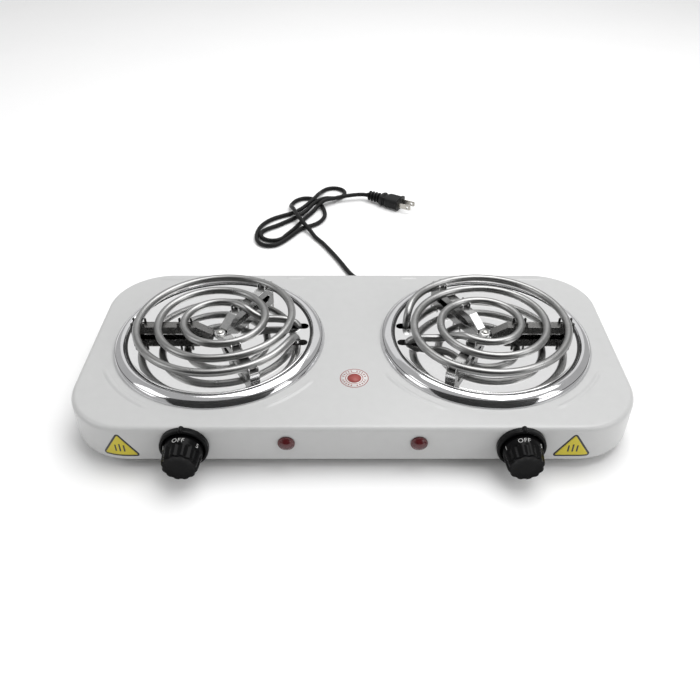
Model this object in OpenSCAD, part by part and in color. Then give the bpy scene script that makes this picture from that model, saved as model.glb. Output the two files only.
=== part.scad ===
// Two-burner electric hot plate: a pressed steel housing on four rubber feet, two coil
// elements over mirror plates, two power regulators with turning knobs, and a mains cord.
// +X is to the right, +Y is to the back, +Z is up, and Z = 0 is the surface it stands on.

/* [Housing] */
// Width of the housing from side to side
housing_w = 480; // [460:1:600]
// Depth of the housing from front wall to back wall
housing_d = 231; // [225:1:300]
// Height of the housing's walls
housing_h = 34.5; // [32:0.5:60]
// Plan radius of the housing's corners
corner_r = 55.5; // [30:0.5:70]
// Radius rolled along the top edge
edge_r = 4.5; // [2:0.5:7]
// Sheet thickness of the housing
housing_t = 1; // [0.8:0.1:1.5]
// Sheet thickness of the base plate
base_t = 0.8; // [0.6:0.1:1.5]
// How far the base plate sits above the housing's lower edge
base_inset = 1; // [0.5:0.1:3]
// Height of the feet below the housing
foot_h = 10; // [6:0.5:20]
// Radius of a foot
foot_r = 10; // [7:0.5:14]

/* [Burners] */
// Distance between the two burner centres
burner_spacing = 244.6; // [220:0.2:290]
// How far the burners sit behind the housing's middle
burner_back = 4.1; // [0:0.1:10]
// Outer radius of the chrome ring
ring_r = 96.6; // [93:0.2:100]
// Height of the ring's crest above the housing
ring_h = 7.5; // [6.5:0.1:10]
// Width of the ring's rounded bead
ring_bead = 11.6; // [10:0.1:13]
// Sheet thickness of the ring, the mirror plate and the support arms
trim_t = 0.8; // [0.6:0.1:1]
// Height of the mirror plate above the housing
mirror_rise = 5; // [4:0.1:6]
// Width of the ledge that carries the mirror plate
ledge_w = 3.3; // [2.5:0.1:4]
// Gap between an element's leg and the sides of its slot in the mirror plate
slot_gap = 0.7; // [0.5:0.1:1.2]
// Length of those slots
slot_len = 20; // [16:0.1:22]

/* [Coil elements] */
// Diameter of the element's sheath
tube_d = 7.1; // [6:0.1:7.6]
// Height of the coil's middle above the mirror plate
coil_rise = 14.5; // [13:0.1:18]
// Distance from the ring's outer edge in to the middle of the outer turn
coil_inset = 23.6; // [22:0.1:27]
// Distance between the middles of the outer turn and the second turn
outer_pitch = 19; // [17:0.5:21]
// Distance between the middles of the second turn and the inner turn
inner_pitch = 23; // [20:0.5:25]
// Distance from the middle plane to each leg
leg_y = 12.5; // [10:0.5:14]
// Width of a support arm
arm_w = 9; // [7:0.5:10]
// Radius of the hub that the arms meet at
hub_r = 5.5; // [4.5:0.1:8]

/* [Controls] */
// Distance between the two knobs
knob_spacing = 274; // [240:1:320]
// Height of the knobs above the housing's lower edge
control_z = 16.5; // [15.5:0.1:18]
// Height of the lamps above the housing's lower edge
lamp_z = 19; // [15:0.1:20]
// How far the knobs stick out from the front wall
knob_reach = 25; // [22:0.5:35]
// Radius of a knob at its back
knob_r = 16.3; // [14:0.1:17]
// Radius of a knob's front face
knob_front_r = 14.5; // [11:0.1:15.5]
// Number of flutes round a knob
flute_count = 12; // [8:1:20]
// Radius of the fixed ring round a knob
bezel_r = 20; // [19:0.1:22]
// Depth of that ring
bezel_depth = 5.5; // [4:0.1:7]
// Diameter of a regulator's shaft
shaft_d = 6; // [5:0.1:7]
// Distance between the two lamps
lamp_spacing = 108; // [80:1:160]
// Diameter of a lamp's lens
lens_d = 14; // [11:0.5:16]

/* [Mains cord] */
// Width of the cord
cord_d = 5.2; // [4.5:0.1:6]
// Height at which the cord leaves the housing, above its lower edge
cord_exit_z = 10; // [9:0.5:14]
// Length of the plug's body
plug_len = 30; // [26:1:36]

/* [Hidden] */
$fn = 64;

// Clearances
slide_gap = 0.1;   // round a part that slides or turns in another
seat_gap = 0.3;    // round a part that drops into another
rest_gap = 0.05;   // between the coil and the arms that it lies on
ear_gap = 0.6;     // between a turn and the ears that keep it in place

// The housing's planes
body_y = knob_reach / 2;                  // the whole depth, knobs included, is centred on Y = 0
front_y = body_y - housing_d / 2;         // outside of the front wall
back_y = body_y + housing_d / 2;          // outside of the back wall
top_z = foot_h + housing_h;
roof_z = top_z - housing_t;
base_z = foot_h + base_inset;
base_top = base_z + base_t;
burner_x = burner_spacing / 2;
burner_y = body_y + burner_back;

// The burner's planes
mirror_z = top_z + mirror_rise;
ledge_z = mirror_z - trim_t;
coil_z = mirror_z + coil_rise;
arm_top = coil_z - tube_d / 2 - rest_gap;
bead_in = ring_r - ring_bead;             // radius where the bead meets the mirror plate
plate_r = bead_in - seat_gap / 2;
arm_end = bead_in - 5;                    // the arms stop short of the bead
spigot_r = bead_in - ledge_w;             // inner radius of the ledge and its collar
hole_r = spigot_r + trim_t + seat_gap;    // the housing's hole
crest_r = bead_in + 3;
hub_top = mirror_z + 2.6;
arm_slope = 14;                           // length over which an arm rises from the hub
outer_turn_r = ring_r - coil_inset;       // middle radii of the coil's turns
middle_turn_r = outer_turn_r - outer_pitch;
inner_turn_r = middle_turn_r - inner_pitch;
leg_x = outer_turn_r - 1;
slot_w = tube_d + 2 * slot_gap;           // the leg slots
slot_end = spigot_r - 0.2;
block_top = roof_z - 4.5;                 // the ceramic block that holds the legs
block_h = 12;
block_w = 14;
block_len = 42;
block_x = leg_x - block_w / 2;
leg_foot = block_top - block_h + 3;       // the legs end inside the block
tab_drop = 14;                            // how far the tabs reach below the legs
tab_w = 5.2;
tab_thick = 0.8;
lead_under = coil_z - tube_d - 0.7;       // middle of the inner leg where it passes under the turns
bar_t = 1.2;                              // bar and bracket under the mirror plate
bar_w = 20;
bar_overlap = 6;                          // how far the bar reaches past the housing's hole
bracket_w = 14;
bracket_len = 12;
bolt_r = 2;
bolt_head_r = 3.2;
bolt_head_h = 1.6;
bolt_nut_h = 3.2;
bolt_tail = 1.3;                          // how far the bolt comes out of its nut

// Turns of the coil, from the outer end to the inner end
first_angle = -15;       // direction of turn 0
spiral_from = 0.09;      // turns at which the outer leg joins the spiral
spiral_to = 2.82;        // turns at which the inner leg leaves it
spiral_steps = 84;

// Controls
knob_x = knob_spacing / 2;
lamp_x = lamp_spacing / 2;
knob_z = foot_h + control_z;
lens_z = foot_h + lamp_z;
bushing_r = 4.6;
bushing_reach = 5;
reg_w = 30;
reg_d = 28;
reg_h = 25;
plate_t = 1.2;           // thickness of the bezel's back plate
nut_t = 2.2;
knob_back = 2.5;         // gap from the front wall to the knob
knob_collar = 5;         // length of the knob's straight part, behind the flutes
knob_hollow = 4;         // depth of the hollow behind the knob, over the nut
knob_hollow_r = 9.5;
bore_depth = 12;
shaft_flat = 0.8;        // depth of the flat along the shaft
shaft_seat = 4.5;        // from the back of the regulator to the end of the shaft
bezel_gap = 1.2;         // between the knob and the ring round it
bump_r = 2.2;            // index bump at the top of that ring
lamp_body_r = 5;
lamp_body_len = 22;
lamp_flange = 1.8;
lens_lip = 1.6;
lens_step = 0.5;
lens_rise = 3.4;

// Fasteners and feet
screw_x = housing_w / 2 - corner_r - 12;
screw_y = housing_d / 2 - 10;
screw_r = 1.5;
screw_head_r = 3;
screw_hole_r = 1.6;
tab_t = 1.5;             // tabs inside the housing that the screws bite into
tab_half = 7;
foot_stem_r = 3;
foot_barb_r = 4.4;
foot_barb_h = 2.5;
vent_len = 32;           // cooling slots in the base plate
vent_w = 4;
vent_pitch = 12;
vent_gap = 6;            // half the gap between the two rows of slots
foot_x = housing_w / 2 - 45;
foot_y = housing_d / 2 - 38;

// Inside wiring
junction = [34, 16, 14];                  // size of the junction block
junction_y = back_y - 34;
wire_r = 1.4;
thin_wire_r = 1;

// Route of the mains cord, from the gland to the hank and from the hank to the plug
cord_exit = [10, back_y, foot_h + cord_exit_z];
gland_neck_r = 5.2;
gland_back_r = 6.5;
gland_back_t = 3;
gland_flange_r = 8;
gland_flange_t = 2;
relief_len = 26;
cord_low = cord_d / 2 + 0.2;              // height of the cord's middle where it lies on the table
lead_points = [
    [9.6, 164.8, 15.5], [7.4, 174.8, 9], [3.2, 184.8, 4.2], [-1.6, 193.8, cord_low], [-6.5, 203.8, cord_low],
    [-12.5, 217.8, cord_low], [-19.5, 232.8, cord_low], [-27, 247.8, cord_low], [-35.5, 263.8, cord_low],
    [-45, 278.8, cord_low], [-51, 289.8, 4.5], [-56, 298.3, 6.5], [-60, 304, 7.8]
];
hank_middle = [-63, 337.8];
hank_turn = 52;
hank_h = 15;
// Rounded corners of the hank's outline, along and across it: place and radius
hank_left = [-62, -6, 24];
hank_waist = [16, 5, 28];
hank_tip = [78, 8, 13];
plug_turn = -30;
plug_z = 8;
plug_back = [39, 375];
plug_w = 25;
plug_neck_w = 20;
plug_t = 15;
plug_collar = 6;         // length of the collar at the body's back
plug_notch = 2.5;        // length of the groove between the collar and the body
plug_relief_len = 20;
rib_count = 4;
rib_pitch = 4.5;
rib_r = 6.8;
rib_t = 1.3;
blade = [17.5, 1.5, 6.35];
blade_apart = 12.7;
blade_hole_r = 1.6;
blade_hole_in = 4.5;     // from the blade's tip to the middle of its hole
tail_points = [
    [-17, 380, 7], [-10, 381.6, 7.6], [2.9, 384.6, plug_z], [15, 386.4, plug_z],
    [plug_back[0] - plug_relief_len * cos(plug_turn), plug_back[1] - plug_relief_len * sin(plug_turn), plug_z]
];

function unit(v) = v / norm(v);
function ease(t) = let (u = max(0, min(1, t))) u * u * (3 - 2 * u);
// Middle radius of the coil at a number of turns from its outer end
function turn_radius(turns) = outer_turn_r
    + (middle_turn_r - outer_turn_r) * ease((turns - 0.78) / 0.42)
    + (inner_turn_r - middle_turn_r) * ease((turns - 1.5) / 0.88);
function coil_spot(turns) =
    let (angle = first_angle - 360 * turns, r = turn_radius(turns))
    [r * cos(angle), r * sin(angle), coil_z];
function bezier(a, b, c, d, n) = [
    for (i = [0:n])
        let (t = i / n, s = 1 - t)
        s * s * s * a + 3 * s * s * t * b + 3 * s * t * t * c + t * t * t * d
];
// A list of points without any that repeats the one before it
function thinned(p) = [for (i = [0:len(p) - 1]) if (i == 0 || norm(p[i] - p[max(i - 1, 0)]) > 0.01) p[i]];
function tangents(p) = [
    for (i = [0:len(p) - 1]) unit(p[min(i + 1, len(p) - 1)] - p[max(i - 1, 0)])
];
// Each ring's side direction, carried along the line without twisting
function sides(t, before, i = 0) =
    i == len(t) ? [] :
    let (n = unit(before - (before * t[i]) * t[i]))
    concat([n], sides(t, n, i + 1));
// A tube of radius r along a line of points, with count flat sides. Its ends are square to
// from_way and to_way, or to the line where those aren't given.
module swept(line, r, count, from_way, to_way) {
    p = thinned(line);
    way = tangents(p);
    t = [
        for (i = [0:len(p) - 1])
            i == 0 && from_way != undef ? from_way : i == len(p) - 1 && to_way != undef ? to_way : way[i]
    ];
    n = sides(t, abs(t[0][2]) > 0.9 ? [1, 0, 0] : [0, 0, 1]);
    last = len(p) - 1;
    points = [
        for (i = [0:last], k = [0:count - 1])
            p[i] + r * (cos(360 * k / count) * n[i] + sin(360 * k / count) * cross(t[i], n[i]))
    ];
    walls = [
        for (i = [0:last - 1], k = [0:count - 1])
            let (a = i * count + k, b = i * count + (k + 1) % count)
            for (face = [[a + count, b, a], [a + count, b + count, b]]) face
    ];
    first_end = [for (k = [0:count - 1]) k];
    last_end = [for (k = [count - 1:-1:0]) last * count + k];
    polyhedron(points, concat(walls, [first_end, last_end]));
}

// Quarter outline of a block with a rounded top edge
module rim_profile(r, h, e) {
    square([r, h - e]);
    square([r - e, h]);
    translate([r - e, h - e]) circle(e);
}

// A block with rounded corners in plan and a rounded top edge, standing on Z = 0
module rounded_block(w, d, h, r, e) {
    in_w = w - 2 * r;
    in_d = d - 2 * r;
    translate([-in_w / 2, -in_d / 2, 0]) cube([in_w, in_d, h]);
    for (sx = [-1, 1], sy = [-1, 1])
        translate([sx * in_w / 2, sy * in_d / 2, 0])
            rotate([0, 0, sx > 0 ? (sy > 0 ? 0 : 270) : (sy > 0 ? 90 : 180)])
                rotate_extrude(angle = 90) rim_profile(r, h, e);
    for (s = [0, 180]) {
        rotate([0, 0, s]) translate([in_w / 2, in_d / 2, 0]) rotate([90, 0, 0])
            linear_extrude(in_d) rim_profile(r, h, e);
        rotate([0, 0, s]) translate([-in_w / 2, in_d / 2, 0]) rotate([90, 0, 90])
            linear_extrude(in_w) rim_profile(r, h, e);
    }
}

module rounded_rect(w, d, r) {
    square([w - 2 * r, d], center = true);
    square([w, d - 2 * r], center = true);
    for (sx = [-1, 1], sy = [-1, 1]) translate([sx * (w / 2 - r), sy * (d / 2 - r)]) circle(r);
}

// A slot with round ends, along X
module slot(length, width) {
    square([length - width, width], center = true);
    for (s = [-1, 1]) translate([s * (length - width) / 2, 0]) circle(width / 2);
}

// Places its children at a burner: s is -1 for the left one and 1 for the right one
module at_burner(s) {
    translate([s * burner_x, burner_y, 0]) rotate([0, 0, s > 0 ? 180 : 0]) children();
}

// Places its children on the front wall, with their +Z pointing out of it and +Y up
module on_front(x, z = knob_z) {
    translate([x, front_y, z]) rotate([90, 0, 0]) children();
}

// Places its children at the base plate's screws, with their +Y pointing to the wall
module at_screws() {
    for (sx = [-1, 1], sy = [-1, 1])
        translate([sx * screw_x, body_y + sy * screw_y, 0]) rotate([0, 0, sy > 0 ? 0 : 180]) children();
}

module at_feet() {
    for (sx = [-1, 1], sy = [-1, 1]) translate([sx * foot_x, body_y + sy * foot_y, 0]) children();
}

// Pressed steel housing, open below, with a tab for each base screw
module top_housing() {
    wall_gap = housing_d / 2 - housing_t - screw_y;
    color("gainsboro") difference() {
        union() {
            difference() {
                translate([0, body_y, foot_h])
                    rounded_block(housing_w, housing_d, housing_h, corner_r, edge_r);
                translate([0, body_y, foot_h - 1])
                    rounded_block(housing_w - 2 * housing_t, housing_d - 2 * housing_t,
                        housing_h - housing_t + 1, corner_r - housing_t, edge_r - housing_t);
            }
            at_screws() translate([-tab_half, -tab_half, base_top])
                cube([2 * tab_half, tab_half + wall_gap + housing_t / 2, tab_t]);
        }
        at_screws() translate([0, 0, base_top - 1]) cylinder(r = screw_hole_r, h = tab_t + 2);
        for (s = [-1, 1]) {
            at_burner(s) translate([0, 0, roof_z - 1]) cylinder(r = hole_r, h = housing_t + 2);
            on_front(s * knob_x) translate([0, 0, -housing_t - 1])
                cylinder(r = bushing_r + slide_gap, h = housing_t + 2);
            on_front(s * lamp_x, lens_z) translate([0, 0, -housing_t - 1])
                cylinder(r = lamp_body_r + slide_gap, h = housing_t + 2);
        }
        translate(cord_exit) rotate([90, 0, 0]) translate([0, 0, -1])
            cylinder(r = gland_neck_r + slide_gap, h = housing_t + 2);
    }
}

// Flat steel plate that closes the housing, with cooling slots under each burner
module base_plate() {
    gap = housing_t + seat_gap;
    color("silver") translate([0, body_y, base_z]) linear_extrude(base_t) difference() {
        rounded_rect(housing_w - 2 * gap, housing_d - 2 * gap, corner_r - gap);
        for (sx = [-1, 1], sy = [-1, 1]) {
            translate([sx * screw_x, sy * screw_y]) circle(r = screw_hole_r + slide_gap);
            translate([sx * foot_x, sy * foot_y]) circle(r = foot_stem_r);
        }
        for (s = [-1, 1], i = [-3:3], j = [-1, 1])
            translate([s * burner_x + i * vent_pitch, burner_back + j * (vent_len / 2 + vent_gap)])
                rotate([0, 0, 90]) slot(vent_len, vent_w);
    }
}

module base_screws() {
    color("silver") at_screws() {
        translate([0, 0, base_z - 2]) cylinder(r = screw_head_r, h = 2);
        translate([0, 0, base_z - 1]) cylinder(r = screw_r, h = base_t + tab_t + 4);
    }
}

// Rubber foot with a stem and a barb that snaps through the base plate
module foot(sx, sy) {
    color("dimgray") translate([sx * foot_x, body_y + sy * foot_y, 0]) {
        cylinder(r = foot_r, h = base_z);
        cylinder(r = foot_stem_r - slide_gap, h = base_top + 1);
        translate([0, 0, base_top]) cylinder(r = foot_barb_r, h = foot_barb_h);
    }
}

// Chrome ring: a rounded bead on the housing, a ledge for the mirror plate, and a collar
// that drops into the housing's hole
module burner_ring(s) {
    crest_z = top_z + ring_h;
    dip = crest_r - bead_in;
    fall = ring_h - mirror_rise;
    color("silver") at_burner(s) rotate_extrude() polygon(concat(
        [for (a = [0:10:90]) [crest_r + (ring_r - crest_r) * cos(a), top_z + ring_h * sin(a)]],
        [for (a = [15:15:90]) [crest_r - dip * sin(a), crest_z - fall * (1 - cos(a))]],
        [
            [bead_in, ledge_z], [spigot_r, ledge_z], [spigot_r, roof_z], [spigot_r + trim_t, roof_z],
            [spigot_r + trim_t, ledge_z - trim_t], [bead_in + trim_t, ledge_z - trim_t]
        ],
        [for (a = [90:-15:0])
            [crest_r - (dip - trim_t) * sin(a), crest_z - trim_t - (fall - trim_t / 2) * (1 - cos(a))]],
        [for (a = [80:-10:0])
            [crest_r + (ring_r - trim_t - crest_r) * cos(a), top_z + (ring_h - trim_t) * sin(a)]]
    ));
}

// Polished plate under the coil, with two slots for the element's legs
module mirror_plate(s) {
    color("whitesmoke") at_burner(s) translate([0, 0, ledge_z]) linear_extrude(trim_t) difference() {
        circle(r = plate_r);
        circle(r = bolt_r + slide_gap);
        for (j = [-1, 1]) translate([slot_end - slot_len / 2, j * leg_y]) slot(slot_len, slot_w);
    }
}

// Sheathed element: the outer leg, three turns, and the inner leg that passes under them
module coil(s) {
    start = coil_spot(spiral_from);
    end = coil_spot(spiral_to);
    start_way = unit(start - coil_spot(spiral_from + 0.01));
    end_way = unit(end - coil_spot(spiral_to - 0.01));
    under = [middle_turn_r - 8, leg_y + 2.5, lead_under];
    leg_bend = mirror_z + 6.5;
    outer_leg = bezier(
        [leg_x, -leg_y, mirror_z - 3], [leg_x, -leg_y, coil_z + 4], start + 24 * start_way, start, 9
    );
    turns = [
        for (i = [0:spiral_steps]) coil_spot(spiral_from + (spiral_to - spiral_from) * i / spiral_steps)
    ];
    dip = bezier(end, end + 9 * end_way, under - [12, 0.5, 0], under, 6);
    inner_leg = bezier(
        under, under + [12, 0.5, 0], [leg_x, leg_y, leg_bend], [leg_x, leg_y, mirror_z - 3], 8
    );
    color("darkgray") at_burner(s) swept(
        concat([[leg_x, -leg_y, leg_foot]], outer_leg, turns, dip, inner_leg, [[leg_x, leg_y, leg_foot]]),
        tube_d / 2, 10
    );
}

// Support arm: a bent channel that rises from the hub, with two ears beside the outer turn and
// two beside the inner one
module support_arm(s, angle) {
    turns = ((first_angle - angle + 720) % 360) / 360;
    arm_in = hub_r + slide_gap;
    ear_w = arm_w - 3;
    under = arm_top - trim_t;
    color("silver") at_burner(s) rotate([0, 0, angle]) {
        difference() {
            rotate([90, 0, 0]) linear_extrude(arm_w, center = true) polygon([
                [arm_in, mirror_z], [arm_end, mirror_z], [arm_end, arm_top], [arm_in + arm_slope, arm_top],
                [arm_in, hub_top]
            ]);
            rotate([90, 0, 0]) linear_extrude(arm_w - 2 * trim_t, center = true) polygon([
                [arm_in - 1, mirror_z - 1], [arm_end - trim_t, mirror_z - 1], [arm_end - trim_t, under],
                [arm_in + arm_slope, under], [arm_in, hub_top - trim_t], [arm_in - 1, hub_top - trim_t]
            ]);
        }
        for (r = [turn_radius(turns), turn_radius(turns + 2)], side = [-1, 1])
            translate([r + side * (tube_d / 2 + ear_gap + trim_t / 2) - trim_t / 2, -ear_w / 2, under])
                cube([trim_t, ear_w, tube_d / 2 + trim_t + 1]);
    }
}

// Small round cap that the three arms meet at
module support_hub(s) {
    cap_h = hub_top - mirror_z;
    color("silver") at_burner(s) translate([0, 0, mirror_z]) difference() {
        cylinder(r = hub_r, h = cap_h);
        translate([0, 0, -1]) cylinder(r = hub_r - trim_t, h = cap_h + 1 - trim_t);
        cylinder(r = bolt_r + slide_gap, h = cap_h + 1);
    }
}

// Bolt that pulls the hub, the mirror plate and the ring down on to the housing
module hub_bolt(s) {
    tail_z = roof_z - bar_t - bolt_nut_h - bolt_tail;
    color("silver") at_burner(s) {
        translate([0, 0, tail_z]) cylinder(r = bolt_r, h = hub_top + bolt_head_h / 2 - tail_z);
        translate([0, 0, hub_top]) cylinder(r = bolt_head_r, h = bolt_head_h);
    }
}

module hub_nuts() {
    color("silver") for (s = [-1, 1]) at_burner(s)
        translate([0, 0, roof_z - bar_t - bolt_nut_h]) difference() {
            cylinder(r = 2 * bolt_r, h = bolt_nut_h, $fn = 6);
            translate([0, 0, -1]) cylinder(r = bolt_r + slide_gap / 2, h = bolt_nut_h + 2);
        }
}

// Flat bar across the housing's hole, under the roof
module clamp_bar(s) {
    reach = hole_r + bar_overlap;
    color("silver") at_burner(s) translate([0, 0, roof_z - bar_t]) difference() {
        translate([-bar_w / 2, -reach, 0]) cube([bar_w, 2 * reach, bar_t]);
        translate([0, 0, -1]) cylinder(r = bolt_r + slide_gap, h = bar_t + 2);
    }
}

// Ceramic block that holds the element's two legs
module terminal_block(s) {
    color("dimgray") at_burner(s) translate([0, 0, block_top - block_h]) difference() {
        translate([block_x, -block_len / 2, 0]) cube([block_w, block_len, block_h]);
        for (j = [-1, 1]) translate([leg_x, j * leg_y, -1])
            cylinder(r = tube_d / 2 + slide_gap, h = block_h + 2);
    }
}

// Angle bracket that hangs the block from the mirror plate
module block_bracket(s) {
    color("silver") at_burner(s) {
        translate([block_x - bar_t, -bracket_w / 2, block_top - block_h])
            cube([bar_t, bracket_w, ledge_z - block_top + block_h]);
        translate([block_x - bracket_len, -bracket_w / 2, ledge_z - bar_t])
            cube([bracket_len, bracket_w, bar_t]);
    }
}

module element_tabs(s) {
    color("silver") at_burner(s) for (j = [-1, 1])
        translate([leg_x - tab_thick / 2, j * leg_y - tab_w / 2, leg_foot - tab_drop])
            cube([tab_thick, tab_w, tab_drop]);
}

// Power regulator behind the front wall, with a threaded bushing through the wall
module regulator(s) {
    color("ivory") on_front(s * knob_x) difference() {
        union() {
            translate([-reg_w / 2, -reg_h / 2, -housing_t - reg_d]) cube([reg_w, reg_h, reg_d]);
            translate([0, 0, -housing_t - 1]) cylinder(r = bushing_r, h = housing_t + 1 + bushing_reach);
            for (j = [-1, 1]) translate([j * 9 - 0.4, -3, -housing_t - reg_d - 7]) cube([0.8, 6, 8]);
        }
        translate([0, 0, -housing_t - reg_d + shaft_seat - rest_gap])
            cylinder(r = shaft_d / 2 + rest_gap, h = reg_d + housing_t + bushing_reach);
    }
}

// Shaft with a flat on its outer end
module regulator_shaft(s) {
    tip = knob_back + knob_hollow + bore_depth;
    color("silver") on_front(s * knob_x) difference() {
        translate([0, 0, -housing_t - reg_d + shaft_seat])
            cylinder(r = shaft_d / 2, h = tip + housing_t + reg_d - shaft_seat);
        translate([-shaft_d, shaft_d / 2 - shaft_flat, knob_back + knob_hollow])
            cube([2 * shaft_d, shaft_d, tip]);
    }
}

module bushing_nuts() {
    color("silver") for (s = [-1, 1]) on_front(s * knob_x) translate([0, 0, plate_t]) difference() {
        cylinder(r = 7.5, h = nut_t, $fn = 6);
        translate([0, 0, -1]) cylinder(r = bushing_r + rest_gap, h = nut_t + 2);
    }
}

// Fluted knob, hollow over the nut, with a flatted bore for the shaft
module knob(s) {
    flute_r = knob_r * PI / flute_count * 0.6;
    cone_len = knob_reach - knob_back - knob_collar;
    lean = atan((knob_r - knob_front_r) / cone_len);
    floor_z = knob_back + knob_hollow;
    color("#1c1c1c") on_front(s * knob_x) difference() {
        union() {
            translate([0, 0, knob_back]) cylinder(r = knob_r, h = knob_collar);
            translate([0, 0, knob_back + knob_collar])
                cylinder(r1 = knob_r, r2 = knob_front_r, h = cone_len);
        }
        translate([0, 0, knob_back - 1]) cylinder(r = knob_hollow_r, h = knob_hollow + 1);
        for (i = [0:flute_count - 1]) rotate([0, 0, 360 * (i + 0.5) / flute_count])
            translate([knob_r + flute_r * 0.72, 0, knob_back + knob_collar + 3])
                rotate([0, -lean, 0]) cylinder(r = flute_r, h = knob_reach);
        difference() {
            translate([0, 0, floor_z - 1]) cylinder(r = shaft_d / 2 + rest_gap, h = bore_depth + 1.2);
            translate([-shaft_d, shaft_d / 2 - shaft_flat + rest_gap, floor_z])
                cube([2 * shaft_d, shaft_d, bore_depth + 1]);
        }
    }
}

// Fixed ring round the knob, with an index bump at the top
module knob_bezel(s) {
    color("#202020") on_front(s * knob_x) {
        difference() {
            cylinder(r = bezel_r, h = bezel_depth);
            translate([0, 0, plate_t]) cylinder(r = knob_r + bezel_gap, h = bezel_depth);
            translate([0, 0, -1]) cylinder(r = bushing_r + slide_gap, h = bezel_depth);
        }
        translate([0, bezel_r - 0.6, 0]) cylinder(r = bump_r, h = bezel_depth);
    }
}

module lamp_lens(s) {
    lip_r = lens_d / 2;
    dome_r = lip_r - lens_step;
    ball_r = (dome_r * dome_r + lens_rise * lens_rise) / (2 * lens_rise);
    color("darkred") on_front(s * lamp_x, lens_z) rotate_extrude() {
        square([lip_r, lens_lip]);
        intersection() {
            translate([0, lens_lip + lens_rise - ball_r]) circle(ball_r);
            square([dome_r, lens_lip + lens_rise]);
        }
    }
}

module lamp_holder(s) {
    color("ivory") on_front(s * lamp_x, lens_z) {
        translate([0, 0, -lamp_body_len]) cylinder(r = lamp_body_r, h = lamp_body_len);
        translate([0, 0, -housing_t - 2]) cylinder(r = lamp_body_r + lamp_flange, h = 2);
    }
}

// Two thin wires from a lamp to the side of its regulator
module lamp_lead(s) {
    from = [s * lamp_x, front_y + lamp_body_len, lens_z];
    to = [s * (knob_x - reg_w / 2), front_y + housing_t + 18, knob_z];
    color("firebrick") for (j = [-1, 1]) swept(bezier(
        from + [0, 0, j * 2], from + [0, 18, j * 2], to + [-s * 25, 6, j * 4], to + [0, 0, j * 4], 8
    ), thin_wire_r, 6, [0, 1, 0], [s, 0, 0]);
}

// Wire from the junction block to the back of a regulator
module supply_lead(s) {
    from = [cord_exit[0] + s * junction[0] / 2, junction_y, base_top + 6];
    to = [s * (knob_x - 4), front_y + housing_t + reg_d, knob_z - 4];
    mid = [s * (burner_x - 32), burner_y + 22, base_top + 3];
    color("black") swept(concat(
        bezier(from, from + [s * 30, 6, -3], mid + [s * 5, 38, 0], mid, 7),
        bezier(mid, mid + [-s * 5, -38, 0], to + [0, 26, -4], to, 8)
    ), wire_r, 6, [s, 0, 0], [0, -1, 0]);
}

// Two wires from the element's tabs: one to the regulator, one to the junction block
module element_lead(s) {
    tab_x = s * (burner_x - leg_x);
    z = leg_foot - 8;
    front_tab = [tab_x + s * tab_thick / 2, burner_y - leg_y, z];
    back_tab = [tab_x - s * tab_thick / 2, burner_y + leg_y, z];
    to_reg = [s * (knob_x - 11), front_y + housing_t + reg_d, knob_z + 6];
    to_block = [cord_exit[0] + s * 9, junction_y - junction[1] / 2, base_top + 8];
    color("white") {
        swept(bezier(front_tab, front_tab + [s * 20, 0, 0], to_reg + [0, 30, 0], to_reg, 9),
            wire_r, 6, [s, 0, 0], [0, -1, 0]);
        swept(bezier(back_tab, back_tab + [-s * 12, 0, 0], to_block - [0, 20, 0], to_block, 8),
            wire_r, 6, [-s, 0, 0], [0, 1, 0]);
    }
}

module junction_block() {
    color("ivory") translate([cord_exit[0] - junction[0] / 2, junction_y - junction[1] / 2, base_top])
        cube(junction);
}

// The cord's inside end, from the gland to the junction block
module inner_cord() {
    from = [cord_exit[0], back_y - housing_t - gland_back_t, cord_exit[2]];
    to = [cord_exit[0], junction_y + junction[1] / 2, base_top + 7];
    color("#202020") swept(
        bezier(from, from - [0, 8, 0], to + [0, 8, 0], to, 5), cord_d / 2, 8, [0, -1, 0], [0, -1, 0]
    );
}

// Bush in the back wall with a tapered strain relief
module cord_gland() {
    color("#202020") translate(cord_exit) rotate([-90, 0, 0]) {
        translate([0, 0, -housing_t - gland_back_t]) cylinder(r = gland_back_r, h = gland_back_t);
        translate([0, 0, -housing_t - 1]) cylinder(r = gland_neck_r, h = housing_t + 2);
        cylinder(r = gland_flange_r, h = gland_flange_t);
        cylinder(r1 = gland_neck_r, r2 = cord_d / 2 + 0.8, h = relief_len);
    }
}

module power_cord() {
    start = cord_exit + [0, relief_len, 0];
    color("#202020") swept(concat([start], lead_points), cord_d / 2, 8, [0, 1, 0]);
}

// Outer shape of the bundled part of the cord
module cord_hank() {
    color("#262626") translate([hank_middle[0], hank_middle[1], 0]) rotate([0, 0, hank_turn])
        linear_extrude(hank_h) hull() {
            for (end = [hank_left, hank_waist, hank_tip]) translate([end[0], end[1]]) circle(end[2]);
        }
}

module cord_tail() {
    color("#202020") swept(tail_points, cord_d / 2, 8, undef, [cos(plug_turn), sin(plug_turn), 0]);
}

module at_plug() {
    translate([plug_back[0], plug_back[1], plug_z]) rotate([0, 0, plug_turn]) children();
}

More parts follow.
